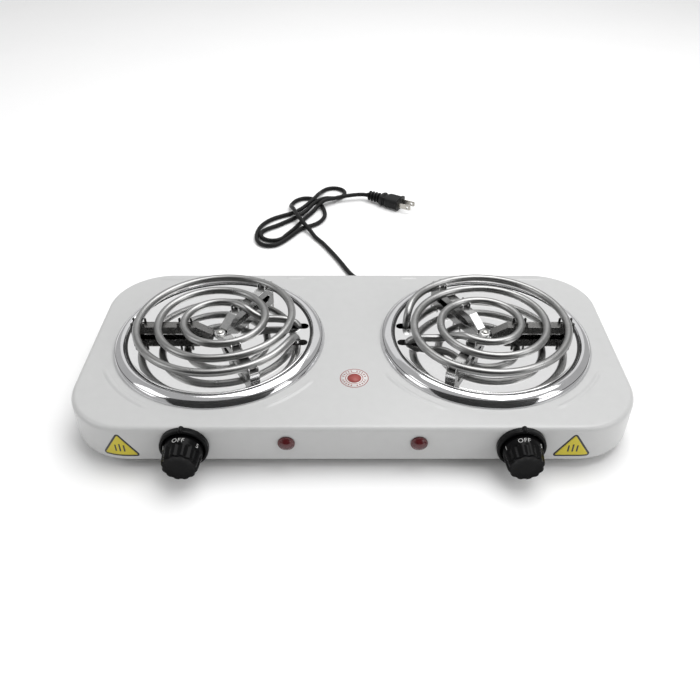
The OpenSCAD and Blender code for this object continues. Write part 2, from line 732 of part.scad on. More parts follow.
// Two-pin plug with a collar, a flange at its face and a ribbed strain relief
module plug_body() {
    neck = plug_neck_w / 2;
    half = plug_w / 2;
    body_start = plug_collar + plug_notch;
    color("#1c1c1c") at_plug() {
        translate([0, 0, -plug_t / 2]) linear_extrude(plug_t) polygon([
            [0, -neck + 2], [plug_collar, -neck], [plug_collar, -neck + 2.5], [body_start, -neck + 2.5],
            [body_start + 3, -neck - 1], [plug_len - 2.5, -neck - 1.2], [plug_len, -half],
            [plug_len, half], [plug_len - 2.5, neck + 1.2], [body_start + 3, neck + 1],
            [body_start, neck - 2.5], [plug_collar, neck - 2.5], [plug_collar, neck], [0, neck - 2]
        ]);
        rotate([0, -90, 0]) cylinder(r1 = 4.6, r2 = cord_d / 2 + 0.6, h = plug_relief_len);
        for (i = [0:rib_count - 1]) translate([-2 - rib_pitch * i, 0, 0]) rotate([0, -90, 0])
            cylinder(r = rib_r - 0.1 * i, h = rib_t);
    }
}

module plug_blades() {
    color("silver") at_plug() for (j = [-1, 1])
        translate([plug_len, j * blade_apart / 2 - blade[1] / 2, -blade[2] / 2]) difference() {
            cube(blade);
            translate([blade[0] - blade_hole_in, -1, blade[2] / 2]) rotate([-90, 0, 0])
                cylinder(r = blade_hole_r, h = blade[1] + 2);
        }
}

top_housing();
base_plate();
base_screws();
foot(-1, -1);  // foot_front_left
foot(1, -1);  // foot_front_right
foot(-1, 1);  // foot_back_left
foot(1, 1);  // foot_back_right
burner_ring(-1);  // burner_ring_left
burner_ring(1);  // burner_ring_right
mirror_plate(-1);  // mirror_plate_left
mirror_plate(1);  // mirror_plate_right
coil(-1);  // coil_left
coil(1);  // coil_right
support_arm(-1, 180);  // support_arm_left_1
support_arm(-1, 60);  // support_arm_left_2
support_arm(-1, -60);  // support_arm_left_3
support_arm(1, 180);  // support_arm_right_1
support_arm(1, 60);  // support_arm_right_2
support_arm(1, -60);  // support_arm_right_3
support_hub(-1);  // support_hub_left
support_hub(1);  // support_hub_right
hub_bolt(-1);  // hub_bolt_left
hub_bolt(1);  // hub_bolt_right
hub_nuts();
clamp_bar(-1);  // clamp_bar_left
clamp_bar(1);  // clamp_bar_right
terminal_block(-1);  // terminal_block_left
terminal_block(1);  // terminal_block_right
block_bracket(-1);  // block_bracket_left
block_bracket(1);  // block_bracket_right
element_tabs(-1);  // element_tabs_left
element_tabs(1);  // element_tabs_right
regulator(-1);  // regulator_left
regulator(1);  // regulator_right
regulator_shaft(-1);  // regulator_shaft_left
regulator_shaft(1);  // regulator_shaft_right
bushing_nuts();
knob(-1);  // knob_left
knob(1);  // knob_right
knob_bezel(-1);  // knob_bezel_left
knob_bezel(1);  // knob_bezel_right
lamp_lens(-1);  // lamp_lens_left
lamp_lens(1);  // lamp_lens_right
lamp_holder(-1);  // lamp_holder_left
lamp_holder(1);  // lamp_holder_right
lamp_lead(-1);  // lamp_lead_left
lamp_lead(1);  // lamp_lead_right
supply_lead(-1);  // supply_lead_left
supply_lead(1);  // supply_lead_right
element_lead(-1);  // element_lead_left
element_lead(1);  // element_lead_right
junction_block();
inner_cord();
cord_gland();
power_cord();
cord_hank();
cord_tail();
plug_body();
plug_blades();
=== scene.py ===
import math
import bpy
import bmesh
from mathutils import Matrix, Vector


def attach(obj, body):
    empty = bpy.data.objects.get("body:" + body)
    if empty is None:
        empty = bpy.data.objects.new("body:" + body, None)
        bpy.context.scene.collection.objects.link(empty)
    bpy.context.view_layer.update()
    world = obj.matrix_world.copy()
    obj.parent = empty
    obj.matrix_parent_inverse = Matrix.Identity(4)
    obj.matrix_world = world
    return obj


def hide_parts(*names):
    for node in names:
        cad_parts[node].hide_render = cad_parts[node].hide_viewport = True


# Two-burner electric hot plate. Everything is in metres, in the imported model's own frame.
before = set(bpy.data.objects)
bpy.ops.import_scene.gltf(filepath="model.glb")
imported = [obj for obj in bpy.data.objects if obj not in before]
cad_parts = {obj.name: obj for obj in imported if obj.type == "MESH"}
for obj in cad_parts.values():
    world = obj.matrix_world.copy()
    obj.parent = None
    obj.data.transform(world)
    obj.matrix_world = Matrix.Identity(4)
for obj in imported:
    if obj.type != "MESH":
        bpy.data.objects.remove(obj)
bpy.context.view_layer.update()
mm = 0.001
print("frame loaded,", len(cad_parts), "nodes")

# ---- camera ----
shot = {
    "place": (-0.0022, -0.52275, 0.4560),
    "pitchDown": 38.25,      # degrees below level
    "lens": 37.6,
    "sensorWidth": 36,
    "nearest": 0.01,
}


def placed(name, data):
    obj = bpy.data.objects.new(name, data)
    bpy.context.scene.collection.objects.link(obj)
    return obj


def addCamera():
    data = bpy.data.cameras.new("shotCamera")
    data.lens = shot["lens"]
    data.sensor_width = shot["sensorWidth"]
    data.clip_start = shot["nearest"]
    cam = placed("shotCamera", data)
    cam.location = shot["place"]
    cam.rotation_euler = (math.radians(90 - shot["pitchDown"]), 0, 0)
    bpy.context.scene.camera = cam


addCamera()

# ---- small tools ----


def unit(v):
    return v / v.length


def ease(t):
    t = max(0.0, min(1.0, t))
    return t * t * (3 - 2 * t)


def bezier(a, b, c, d, count):
    spots = []
    for i in range(count + 1):
        t = i / count
        s = 1 - t
        spots.append(s ** 3 * a + 3 * s * s * t * b + 3 * s * t * t * c + t ** 3 * d)
    return spots


def weldedMesh(name, verts, faces, weld):
    # doubled corners become one, and the faces look outwards
    mesh = bpy.data.meshes.new(name)
    mesh.from_pydata([tuple(v) for v in verts], [], faces)
    bm = bmesh.new()
    bm.from_mesh(mesh)
    bmesh.ops.remove_doubles(bm, verts=bm.verts, dist=weld)
    bmesh.ops.recalc_face_normals(bm, faces=bm.faces)
    bm.to_mesh(mesh)
    bm.free()
    return mesh


def meshPiece(name, part, finishName, body="root", smooth=True):
    # a part is a list of corners and a list of faces
    mesh = weldedMesh(name, *part, 1e-6)
    for face in mesh.polygons:
        face.use_smooth = smooth
    obj = placed(name, mesh)
    mesh.materials.append(finishes[finishName])
    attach(obj, body)
    return obj


def softenEdges(obj, width, segments=3, angle=35):
    bevel = obj.modifiers.new("softEdges", "BEVEL")
    bevel.width = width
    bevel.segments = segments
    bevel.limit_method = "ANGLE"
    bevel.angle_limit = math.radians(angle)
    bevel.harden_normals = False
    keepFlats(obj)
    return obj


def keepFlats(obj):
    weighted = obj.modifiers.new("flatFaces", "WEIGHTED_NORMAL")
    weighted.keep_sharp = True
    weighted.weight = 90


def inMm(points):
    # a list of pairs in millimetres, as metres
    return [(a * mm, b * mm) for a, b in points]


def shifted(x, y, z=0.0):
    # a move in millimetres
    return Matrix.Translation((x * mm, y * mm, z * mm))


def turned(degrees, axis):
    return Matrix.Rotation(math.radians(degrees), 4, axis)


def bands(rows, cols, wrapped=True):
    # the faces between rows of points, each row a ring or an open line
    faces = []
    for i in range(rows - 1):
        for k in range(cols if wrapped else cols - 1):
            n = (k + 1) % cols
            faces.append((i * cols + k, i * cols + n, (i + 1) * cols + n, (i + 1) * cols + k))
    return faces


def capped(rows, cols):
    # bands of rings, closed at both ends
    return bands(rows, cols) + [tuple(range(cols))[::-1], tuple((rows - 1) * cols + k for k in range(cols))]


def standsFor(obj, node):
    keepFlats(obj)
    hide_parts(node)


def spun(profile, steps, closed=False, place=Matrix.Identity(4), wobble=None):
    # turns a list of (radius, height) points round Z
    verts = []
    faces = []
    rows = len(profile)
    for k in range(steps):
        a = 2 * math.pi * k / steps
        for i, (r, z) in enumerate(profile):
            if wobble:
                r = wobble(r, z, a)
            verts.append(place @ Vector((r * math.cos(a), r * math.sin(a), z)))
    for k in range(steps):
        n = (k + 1) % steps
        for i in range(rows if closed else rows - 1):
            j = (i + 1) % rows
            faces.append((k * rows + i, n * rows + i, n * rows + j, k * rows + j))
    return verts, faces


def carried(points):
    # directions along a line, and a side direction that doesn't twist
    ways = []
    for i in range(len(points)):
        a = points[max(i - 1, 0)]
        b = points[min(i + 1, len(points) - 1)]
        ways.append(unit(b - a))
    side = Vector((1, 0, 0)) if abs(ways[0].z) > 0.9 else Vector((0, 0, 1))
    sides = []
    for way in ways:
        side = unit(side - way * side.dot(way))
        sides.append(side)
    return ways, sides


def tube(points, radius, count):
    ways, sides = carried(points)
    verts = []
    for i, p in enumerate(points):
        across = ways[i].cross(sides[i])
        for k in range(count):
            a = 2 * math.pi * k / count
            verts.append(p + radius * (math.cos(a) * sides[i] + math.sin(a) * across))
    return verts, capped(len(points), count)


def joined(*parts):
    verts = []
    faces = []
    for v, f in parts:
        base = len(verts)
        verts += list(v)
        faces += [tuple(base + i for i in face) for face in f]
    return verts, faces


def slab(outline, low, high):
    # a flat piece with straight sides, from a list of (x, y) points
    n = len(outline)
    verts = [Vector((x, y, low)) for x, y in outline] + [Vector((x, y, high)) for x, y in outline]
    faces = [tuple(range(n))[::-1], tuple(range(n, 2 * n))]
    faces += [(i, (i + 1) % n, n + (i + 1) % n, n + i) for i in range(n)]
    return verts, faces


def moved(part, place):
    verts, faces = part
    return [place @ v for v in verts], faces


# ---- finishes ----
noiseLook = {
    "cloudSize": 12,         # in grains
    "fineShare": 0.45,
    "leastRough": 0.02,
    "reliefDepth": 0.0002,
    "edgeFrom": 0.52,
    "edgeTo": 0.6,
}


def finish(name, colour, second, rough, metal=0.0, grain=900.0, spread=0.5, bump=0.1, bumpScale=None,
           roughSpread=0.08, coat=0.0, coatRough=0.1, stretch=(1, 1, 1), specular=0.5, edgeWearAndSheen=None):
    mat = bpy.data.materials.new(name)
    mat.use_nodes = True
    nodes = mat.node_tree.nodes
    shader = nodes["Principled BSDF"]

    def add(kind, settings):
        node = nodes.new("ShaderNode" + kind)
        for socket, value in settings.items():
            node.inputs[socket].default_value = value
        return node

    def wire(first, output, then, socket):
        mat.node_tree.links.new(first.outputs[output], then.inputs[socket])

    shader.inputs["Metallic"].default_value = metal
    shader.inputs["Coat Weight"].default_value = coat
    shader.inputs["Coat Roughness"].default_value = coatRough
    shader.inputs["Specular IOR Level"].default_value = specular
    mapping = add("Mapping", {"Scale": stretch})
    wire(add("TexCoord", {}), "Object", mapping, "Vector")
    # slow cloudiness and fine grain together vary the colour and the dullness
    cloud = add("TexNoise", {"Scale": grain / noiseLook["cloudSize"], "Detail": 3})
    fine = add("TexNoise", {"Scale": grain, "Detail": 4})
    wire(mapping, "Vector", cloud, "Vector")
    wire(mapping, "Vector", fine, "Vector")
    both = nodes.new("ShaderNodeMix")
    both.data_type = "FLOAT"
    both.inputs["Factor"].default_value = noiseLook["fineShare"]
    wire(cloud, "Fac", both, "A")
    wire(fine, "Fac", both, "B")
    ramp = nodes.new("ShaderNodeValToRGB")
    low, high = ramp.color_ramp.elements
    low.position = 0.5 - spread / 2
    high.position = 0.5 + spread / 2
    low.color = (*colour, 1)
    high.color = (*second, 1)
    wire(both, "Result", ramp, "Fac")
    wire(ramp, "Color", shader, "Base Color")
    dull = add("MapRange", {"To Min": max(noiseLook["leastRough"], rough - roughSpread),
                            "To Max": rough + roughSpread})
    wire(both, "Result", dull, "Value")
    wire(dull, "Result", shader, "Roughness")
    relief = add("TexNoise", {"Scale": bumpScale or grain, "Detail": 3})
    wire(mapping, "Vector", relief, "Vector")
    bumpNode = add("Bump", {"Strength": bump, "Distance": noiseLook["reliefDepth"]})
    wire(relief, "Fac", bumpNode, "Height")
    wire(bumpNode, "Normal", shader, "Normal")
    if edgeWearAndSheen:
        # a paler tone on the raised edges: rubbed wear together with a painted highlight along the ridges
        sharp = add("MapRange", {"From Min": noiseLook["edgeFrom"], "From Max": noiseLook["edgeTo"]})
        wire(nodes.new("ShaderNodeNewGeometry"), "Pointiness", sharp, "Value")
        wornAndSheen = nodes.new("ShaderNodeMix")
        wornAndSheen.data_type = "RGBA"
        wornAndSheen.inputs["B"].default_value = (*edgeWearAndSheen, 1)
        wire(sharp, "Result", wornAndSheen, "Factor")
        wire(ramp, "Color", wornAndSheen, "A")
        wire(wornAndSheen, "Result", shader, "Base Color")
    return mat


finishes = {
    "paint": finish("housingEnamel", (0.468, 0.470, 0.468), (0.498, 0.500, 0.498), 0.34, grain=1400,
                    bump=0.05, bumpScale=700, coat=0.25, coatRough=0.2, roughSpread=0.05),
    "chrome": finish("ringChrome", (0.66, 0.66, 0.67), (0.74, 0.74, 0.75), 0.09, metal=1, grain=500,
                     bump=0.02, roughSpread=0.03),
    "mirror": finish("mirrorSteel", (0.78, 0.78, 0.78), (0.85, 0.85, 0.85), 0.07, metal=1, grain=300,
                     bump=0.03, bumpScale=60, roughSpread=0.02),
    "sheath": finish("elementSheath", (0.27, 0.27, 0.268), (0.36, 0.36, 0.355), 0.29, metal=1, grain=1300,
                     bump=0.25, bumpScale=2200, roughSpread=0.07),
    "arm": finish("armSteel", (0.46, 0.46, 0.46), (0.60, 0.60, 0.59), 0.20, metal=1, grain=500, bump=0.08,
                  roughSpread=0.07),
    "armDark": finish("armDarker", (0.15, 0.148, 0.145), (0.22, 0.217, 0.212), 0.27, metal=1, grain=500,
                      bump=0.1, roughSpread=0.07),
    # painted shade: near-black for the groove under the mirror plate's rim; the dark card reuses it as its
    # black
    "seamShadeAndCard": finish("seamShadeAndCardBlack", (0.012, 0.012, 0.012), (0.022, 0.022, 0.022), 0.7, grain=900, bump=0.1),
    "plated": finish("platedSteel", (0.42, 0.42, 0.41), (0.54, 0.54, 0.52), 0.38, metal=1, grain=700,
                     bump=0.12),
    "fastener": finish("fastenerSteel", (0.46, 0.46, 0.44), (0.60, 0.59, 0.56), 0.30, metal=1, grain=1500,
                       bump=0.1),
    "rubber": finish("footRubber", (0.020, 0.020, 0.021), (0.035, 0.035, 0.036), 0.72, grain=2500,
                     bump=0.35),
    "ceramic": finish("blockCeramic", (0.035, 0.032, 0.028), (0.055, 0.050, 0.045), 0.55, grain=1600,
                      bump=0.3),
    "inner": finish("innerPlastic", (0.58, 0.56, 0.48), (0.66, 0.64, 0.56), 0.45, grain=1800, bump=0.1),
    "bezel": finish("bezelPlastic", (0.0022, 0.0022, 0.0024), (0.004, 0.004, 0.0043), 0.36, grain=3000,
                    bump=0.14, specular=0.12),
    # paler flute edges: part wear, part painted highlight
    "knob": finish("knobPlastic", (0.0018, 0.0018, 0.002), (0.0035, 0.0035, 0.0038), 0.22, grain=2600,
                   bump=0.12, specular=0.08, edgeWearAndSheen=(0.006, 0.006, 0.0065)),
    "lens": finish("lensRed", (0.050, 0.006, 0.008), (0.10, 0.010, 0.012), 0.20, grain=1500, bump=0.3,
                   coat=0.25, coatRough=0.06),
    "wire": finish("wireInsulation", (0.52, 0.50, 0.46), (0.62, 0.60, 0.56), 0.5, grain=2500, bump=0.1),
    "cord": finish("cordRubber", (0.004, 0.004, 0.0042), (0.0075, 0.0075, 0.0078), 0.46, grain=1800,
                   bump=0.2, specular=0.2),
    "plug": finish("plugRubber", (0.004, 0.004, 0.0042), (0.0075, 0.0075, 0.0078), 0.42, grain=2200,
                   bump=0.2, specular=0.2),
    "blade": finish("bladeNickel", (0.36, 0.345, 0.31), (0.50, 0.48, 0.44), 0.24, metal=1, grain=900,
                    bump=0.08, stretch=(1, 8, 1)),
    "print": finish("dialPrint", (0.44, 0.44, 0.43), (0.54, 0.54, 0.53), 0.5, grain=3000, bump=0.05),
    "yellow": finish("labelYellow", (0.52, 0.43, 0.01), (0.58, 0.48, 0.02), 0.4, grain=1500, bump=0.04),
    "ink": finish("labelInk", (0.018, 0.018, 0.017), (0.030, 0.030, 0.028), 0.45, grain=1500, bump=0.04),
    "sealWhite": finish("sealWhite", (0.66, 0.65, 0.64), (0.72, 0.71, 0.70), 0.42, grain=1500, bump=0.04),
    "sealRed": finish("sealRed", (0.27, 0.045, 0.04), (0.34, 0.07, 0.06), 0.42, grain=1500, bump=0.04),
}
print("finishes mixed:", len(finishes))

# ---- mains cord ----
cordLook = {
    "diameter": 5.2,
    "exit": (10, 128, 20),
    # stretches of the route, in the order that the cord runs
    "route": {
        # out of the strain relief, down, and along the table to the bundle
        "lead": [(10, 131.5, 20), (10, 144, 20), (10, 154, 18.8), (9.6, 164.8, 15.5), (7.4, 174.8, 9),
                 (3.2, 184.8, 4.2), (-1.6, 193.8, 2.8), (-6.5, 203.8, 2.8), (-12.5, 217.8, 2.8),
                 (-19.5, 232.8, 2.8), (-27, 247.8, 2.8), (-35.5, 263.8, 2.8), (-45, 278.8, 2.8),
                 (-51, 289.8, 4.5), (-56, 298.3, 6.5), (-60, 304, 8.1)],
        # over the waist, and round the small loop
        "waist": [(-64, 311.8, 9.0), (-68, 319.8, 9.6), (-72, 329.8, 9.6), (-75.5, 340.8, 9.2),
                  (-78.8, 350.8, 7.3), (-80.5, 359.8, 4.4)],
        "smallLoop": [(-79, 369.8, 2.8), (-74, 378.8, 2.8), (-65, 384.8, 2.8), (-55.5, 384.3, 2.8),
                      (-47.5, 378.8, 2.8), (-42.5, 369.3, 2.8)],
        # down the right side, under the lead, along the lower edge and round the left end
        "rightSide": [(-38.5, 358.8, 2.8), (-36, 347.8, 2.8), (-35, 335.8, 2.8), (-38, 324.3, 2.8),
                      (-44, 314.8, 2.8), (-52, 308.3, 2.8), (-61, 303.3, 2.8)],
        "leftLobe": [(-68, 294.8, 2.8), (-75, 283.3, 2.8), (-83, 271.3, 2.8), (-91.6, 261.5, 2.8),
                     (-101, 258.3, 2.8), (-110.4, 261.5, 2.8), (-116.6, 270.8, 2.8), (-118.9, 283.8, 2.8),
                     (-118, 295.8, 2.8), (-115, 307.8, 2.8), (-109, 318.8, 2.8), (-100, 328.3, 2.8),
                     (-89.5, 335.3, 2.8)],
        # over the small loop to the right end, and back
        "upperBand": [(-79.5, 341.3, 2.8), (-70, 348.8, 3.4), (-61, 357.8, 5.6), (-53, 368.3, 8.0),
                      (-48, 378.8, 8.3), (-45, 388.8, 7.0), (-43, 398, 4.4), (-38.6, 408.3, 2.9)],
        "rightTip": [(-32.1, 414.5, 2.8), (-23.4, 416.1, 2.8), (-15.1, 412.7, 2.8), (-10.1, 405.4, 2.8),
                     (-9.8, 396.4, 2.8), (-14.3, 388.9, 2.8)],
        "lowerBand": [(-20, 384.9, 3.4), (-26.8, 380.5, 5.4), (-34.5, 375.7, 7.8), (-42.5, 369.3, 8.3),
                      (-51, 358, 8.0), (-58, 347.8, 5.4), (-65, 339.8, 3.2), (-73.5, 329.8, 2.8),
                      (-84, 319.3, 2.8), (-96, 308.2, 2.8)],
        # the inner fold, and out again as the tail
        "innerFold": [(-106.6, 300.2, 2.8), (-112.6, 292.3, 2.8), (-113.6, 283.7, 2.8),
                      (-109.7, 275.8, 2.8), (-102.4, 271.2, 2.8), (-93.6, 271.2, 2.8), (-86.3, 275.8, 2.8),
                      (-82.7, 282.3, 2.8)],
        "middleRun": [(-78.3, 290.2, 2.8), (-73.4, 299, 2.8), (-67.1, 312.8, 2.8), (-61.6, 326.3, 2.8),
                      (-55.5, 338, 2.8), (-50.4, 348.3, 2.8), (-46.3, 356.3, 4.5), (-40.9, 362.6, 7.6),
                      (-34.5, 369, 8.3), (-26, 374.6, 7.4)],
        "tail": [(-17, 380, 7), (-10, 381.6, 7.6), (2.9, 384.6, 8), (13, 386, 8), (21, 384.6, 8),
                 (26, 382.5, 8)],
    },
    "smoothness": 6,
}


def cordRoute():
    return [Vector(p) * mm for stretch in cordLook["route"].values() for p in stretch]


def smoothCurve(name, points, radius, finishName):
    data = bpy.data.curves.new(name, "CURVE")
    data.dimensions = "3D"
    data.bevel_depth = radius
    data.bevel_resolution = 5
    data.resolution_u = cordLook["smoothness"]
    data.use_fill_caps = True
    spline = data.splines.new("BEZIER")
    spline.bezier_points.add(len(points) - 1)
    last = len(points) - 1
    for i, knot in enumerate(spline.bezier_points):
        p = points[i]
        before = points[max(i - 1, 0)]
        after = points[min(i + 1, last)]
        way = unit(after - before)
        knot.handle_left_type = "FREE"
        knot.handle_right_type = "FREE"
        knot.co = p
        knot.handle_left = p - way * (p - before).length / 3
        knot.handle_right = p + way * (after - p).length / 3
    data.materials.append(finishes[finishName])
    return placed(name, data)


def routeLength(points, steps=12):
    # length of the same smooth line
    total = 0.0
    last = len(points) - 1
    for i in range(last):
        a = points[i]
        b = points[i + 1]
        third = (b - a).length / 3
        wayA = unit(b - points[max(i - 1, 0)])
        wayB = unit(points[min(i + 2, last)] - a)
        spots = bezier(a, a + wayA * third, b - wayB * third, b, steps)
        total += sum((spots[k + 1] - spots[k]).length for k in range(steps))
    return total


route = cordRoute()
mainsCord = smoothCurve("mains_cord", route, cordLook["diameter"] / 2 * mm, "cord")
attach(mainsCord, "root")
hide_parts("power_cord", "cord_hank", "cord_tail")
print("cord laid,", round(routeLength(route), 3), "m")

# ---- plug and strain reliefs ----
plugLook = {
    "back": (39, 375, 8), "turn": -30, "sides": 40, "face": 30,
    "ribs": 4, "ribPitch": 4.5, "ribFirst": 2.0, "ribRadius": 6.8, "ribThick": 1.3,
    "reliefLength": 20, "reliefEnd": 3.2, "reliefCore": 3.7,
    # place along the plug, half width and half thickness, from its back to its face
    "outline": [(0, 6.0, 4.6), (0.8, 8.2, 6.2), (3.5, 9.4, 7.0), (5.6, 9.6, 7.1), (6.0, 9.2, 6.9),
                (6.2, 7.9, 5.9), (8.3, 7.7, 5.8), (8.6, 8.3, 6.0), (11.0, 10.4, 6.6), (13.0, 10.9, 6.8),
                (26.2, 10.9, 6.7), (27.4, 11.4, 6.9), (28.2, 12.4, 7.4), (30, 12.5, 7.5)],
    "bladeLength": 17.5, "bladeWidth": 6.35, "bladeThick": 1.5, "bladeApart": 12.7, "bladeClip": (1.4, 1.2),
    # the hole's middle is this far from the blade's tip
    "bladeHoleR": 1.6, "bladeHoleIn": 4.5,
}


def squircle(halfWidth, halfThick, count, power=4.0):
    # a rectangle with generous rounds
    ring = []
    for k in range(count):
        a = 2 * math.pi * k / count
        c = math.cos(a)
        s = math.sin(a)
        ring.append((halfWidth * math.copysign(abs(c) ** (2 / power), c),
                     halfThick * math.copysign(abs(s) ** (2 / power), s)))
    return ring


def makePlug():
    look = plugLook
    place = shifted(*look["back"]) @ turned(look["turn"], "Z")
    verts = []
    for x, w, t in look["outline"]:
        verts += [Vector((x, y, z)) * mm for y, z in squircle(w, t, look["sides"])]
    faces = capped(len(look["outline"]), look["sides"])
    # strain relief with thin round ribs, from the cord to the plug
    profile = [(look["reliefEnd"], -look["reliefLength"])]
    for i in range(look["ribs"] - 1, -1, -1):
        near = -look["ribFirst"] - look["ribPitch"] * i
        far = near - look["ribThick"]
        core = look["reliefCore"] - 0.2 * i
        rib = look["ribRadius"] - 0.1 * i
        profile += [(core, far - 0.1), (rib - 0.3, far), (rib, far + 0.3),
                    (rib, near - 0.3), (rib - 0.3, near), (core, near + 0.1)]
    profile.append((3.9, 0.5))
    relief = spun(inMm(profile), 32)
    body = joined((verts, faces), moved(relief, turned(90, "Y")))
    plug = meshPiece("plug_moulding", moved(body, place), "plug")
    standsFor(plug, "plug_body")
    half = look["bladeWidth"] / 2
    thick = look["bladeThick"] / 2
    root = look["face"] - 0.5
    tip = look["face"] + look["bladeLength"]
    clipX, clipZ = look["bladeClip"]
    # the blade's outline, with a clipped tip
    edge = [(root, -half), (tip - clipX, -half), (tip, clipZ - half),
            (tip, half - clipZ), (tip - clipX, half), (root, half)]
    blades = []
    holes = []
    for side in (-1, 1):
        y = side * look["bladeApart"] / 2
        part = slab(inMm(edge), -thick * mm, thick * mm)
        blades.append(moved(moved(part, turned(90, "X")), shifted(0, y)))
        spot = place @ Vector(((tip - look["bladeHoleIn"]) * mm, y * mm, 0))
        holes.append(rod(spot, place.to_3x3() @ Vector((0, 1, 0)), look["bladeHoleR"] * mm, 4 * mm))
    pair = meshPiece("plug_blade_pair", moved(joined(*blades), place), "blade", smooth=False)
    cutOut(pair, holes)
    softenEdges(pair, 0.25 * mm, 2)
    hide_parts("plug_blades")
    return plug, pair


def rod(middle, way, radius, length, steps=32):
    # a scratch cylinder that cuts a hole and is then removed
    half = length / 2
    verts, faces = spun([(0, -half), (radius, -half), (radius, half), (0, half)], steps)
    turn = Vector((0, 0, 1)).rotation_difference(way).to_matrix().to_4x4()
    return cutterMesh(*moved((verts, faces), Matrix.Translation(middle) @ turn))


def cutterMesh(verts, faces):
    return placed("cutter", weldedMesh("cutter", verts, faces, 1e-7))


def cutOut(obj, cutters):
    for cutter in cutters:
        cut = obj.modifiers.new("cut", "BOOLEAN")
        cut.operation = "DIFFERENCE"
        cut.solver = "EXACT"
        cut.object = cutter
    bpy.context.view_layer.update()
    graph = bpy.context.evaluated_depsgraph_get()
    mesh = bpy.data.meshes.new_from_object(obj.evaluated_get(graph))
    obj.modifiers.clear()
    obj.data = mesh
    for cutter in cutters:
        bpy.data.objects.remove(cutter)


glandLook = {"exit": cordLook["exit"], "length": 26, "rings": 4, "ringFirst": 5, "ringPitch": 5, "ringR": 5.0}


def makeGland():
    look = glandLook
    place = shifted(*look["exit"]) @ turned(-90, "X")
    profile = [(2.4, -4), (6.3, -4), (6.5, -3.6), (6.5, -1.2), (5.2, -1), (5.2, 0), (7.7, 0), (8, 0.4),
               (8, 1.5), (7.6, 2), (5.3, 2.2)]
    for i in range(look["rings"]):
        z = look["ringFirst"] + i * look["ringPitch"]
        r = look["ringR"] - 0.36 * i
        profile += [(r, z - 0.2), (r - 0.8, z + 0.1), (r - 0.85, z + 1.5), (r - 0.2, z + 1.8)]
    profile += [(3.5, look["length"] - 0.5), (3.2, look["length"]), (2.5, look["length"])]
    gland = meshPiece("strain_relief", moved(spun(inMm(profile), 40), place), "plug")
    softenEdges(gland, 0.3 * mm, 2)
    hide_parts("cord_gland")
    return gland


plugMoulding, bladePair = makePlug()
strainRelief = makeGland()
print("plug and strain relief made")

# ---- housing ----
housingLook = {
    "width": 480, "depth": 231, "cornerR": 55.5, "edgeR": 4.5, "lipR": 0.5,
    "bottom": 10, "top": 44.5, "middleY": 12.5, "sheet": 1.0,
    "cornerSteps": 24, "edgeSteps": 8,
    "burnerX": 122.3, "burnerY": 16.6, "holeR": 82.8,
}


def rimPoints(look, inset):
    # the housing's outline in plan, moved inwards
    r = look["cornerR"] - inset
    w = look["width"] / 2 - look["cornerR"]
    d = look["depth"] / 2 - look["cornerR"]
    points = []
    for corner, (sx, sy) in enumerate(((1, 1), (-1, 1), (-1, -1), (1, -1))):
        for k in range(look["cornerSteps"] + 1):
            a = math.radians(90 * corner + 90 * k / look["cornerSteps"])
            points.append((sx * w + r * math.cos(a), sy * d + r * math.sin(a) + look["middleY"]))
    return points


def makeHousing():
    look = housingLook
    e = look["edgeR"]
    inner = e - look["sheet"]
    low = look["bottom"]
    shoulder = look["top"] - e
    turns = [math.radians(90 * k / look["edgeSteps"]) for k in range(look["edgeSteps"] + 1)]
    # from the middle of the roof's underside, down the inside, round the lip and up the outside
    section = [(e + 1.5, look["top"] - look["sheet"])]
    section += [(e - inner * math.cos(a), shoulder + inner * math.sin(a)) for a in reversed(turns)]
    section += [(look["sheet"], low + 4), (look["sheet"], low + look["lipR"]), (look["sheet"] * 0.75, low),
                (look["sheet"] * 0.25, low), (0, low + look["lipR"]), (0, low + 4), (0, shoulder - 2)]
    section += [(e - e * math.cos(a), shoulder + e * math.sin(a)) for a in turns]
    section.append((e + 1.5, look["top"]))
    rings = [[Vector((x, y, z)) * mm for x, y in rimPoints(look, inset)] for inset, z in section]
    verts = [v for ring in rings for v in ring]
    faces = capped(len(rings), len(rings[0]))
    housing = meshPiece("housing_shell", (verts, faces), "paint")
    holes = []
    for side in (-1, 1):
        spot = Vector((side * look["burnerX"], look["burnerY"], look["top"])) * mm
        holes.append(rod(spot, Vector((0, 0, 1)), look["holeR"] * mm, 6 * mm, 128))
    cutOut(housing, holes)
    standsFor(housing, "top_housing")


ribLook = {
    "height": 0.7, "width": 6.0, "radius": 105.5, "steps": 40, "across": 10, "top": housingLook["top"],
    "fade": 0.16, "sink": 0.02,
    # burner side, and the stretch of each arc in degrees
    "arcs": [(-1, -157, -115), (-1, -63, -33), (1, -153, -114), (1, -65, -25)],
    # straight ridges by the back edge: middle, and half length
    "bars": [(58.5, 120.3, 10), (184, 118.1, 16), (-58.5, 120.3, 10), (-184, 118.1, 16)],
}


def raisedLine(spots):
    # a low rounded ridge along a line on the roof, sinking into it at its sides and ends
    look = ribLook
    verts = []
    last = len(spots) - 1
    cols = look["across"] + 1
    ways, _ = carried(spots)
    for i, p in enumerate(spots):
        side = Vector((-ways[i].y, ways[i].x, 0))
        fade = ease(min(i, last - i) / (last * look["fade"]))
        for k in range(cols):
            t = 2 * k / look["across"] - 1
            rise = look["height"] * fade * (0.5 + 0.5 * math.cos(math.pi * t))
            verts.append(p + side * (t * look["width"] / 2 * mm) + Vector((0, 0, (rise - look["sink"]) * mm)))
    return verts, bands(len(spots), cols, wrapped=False)


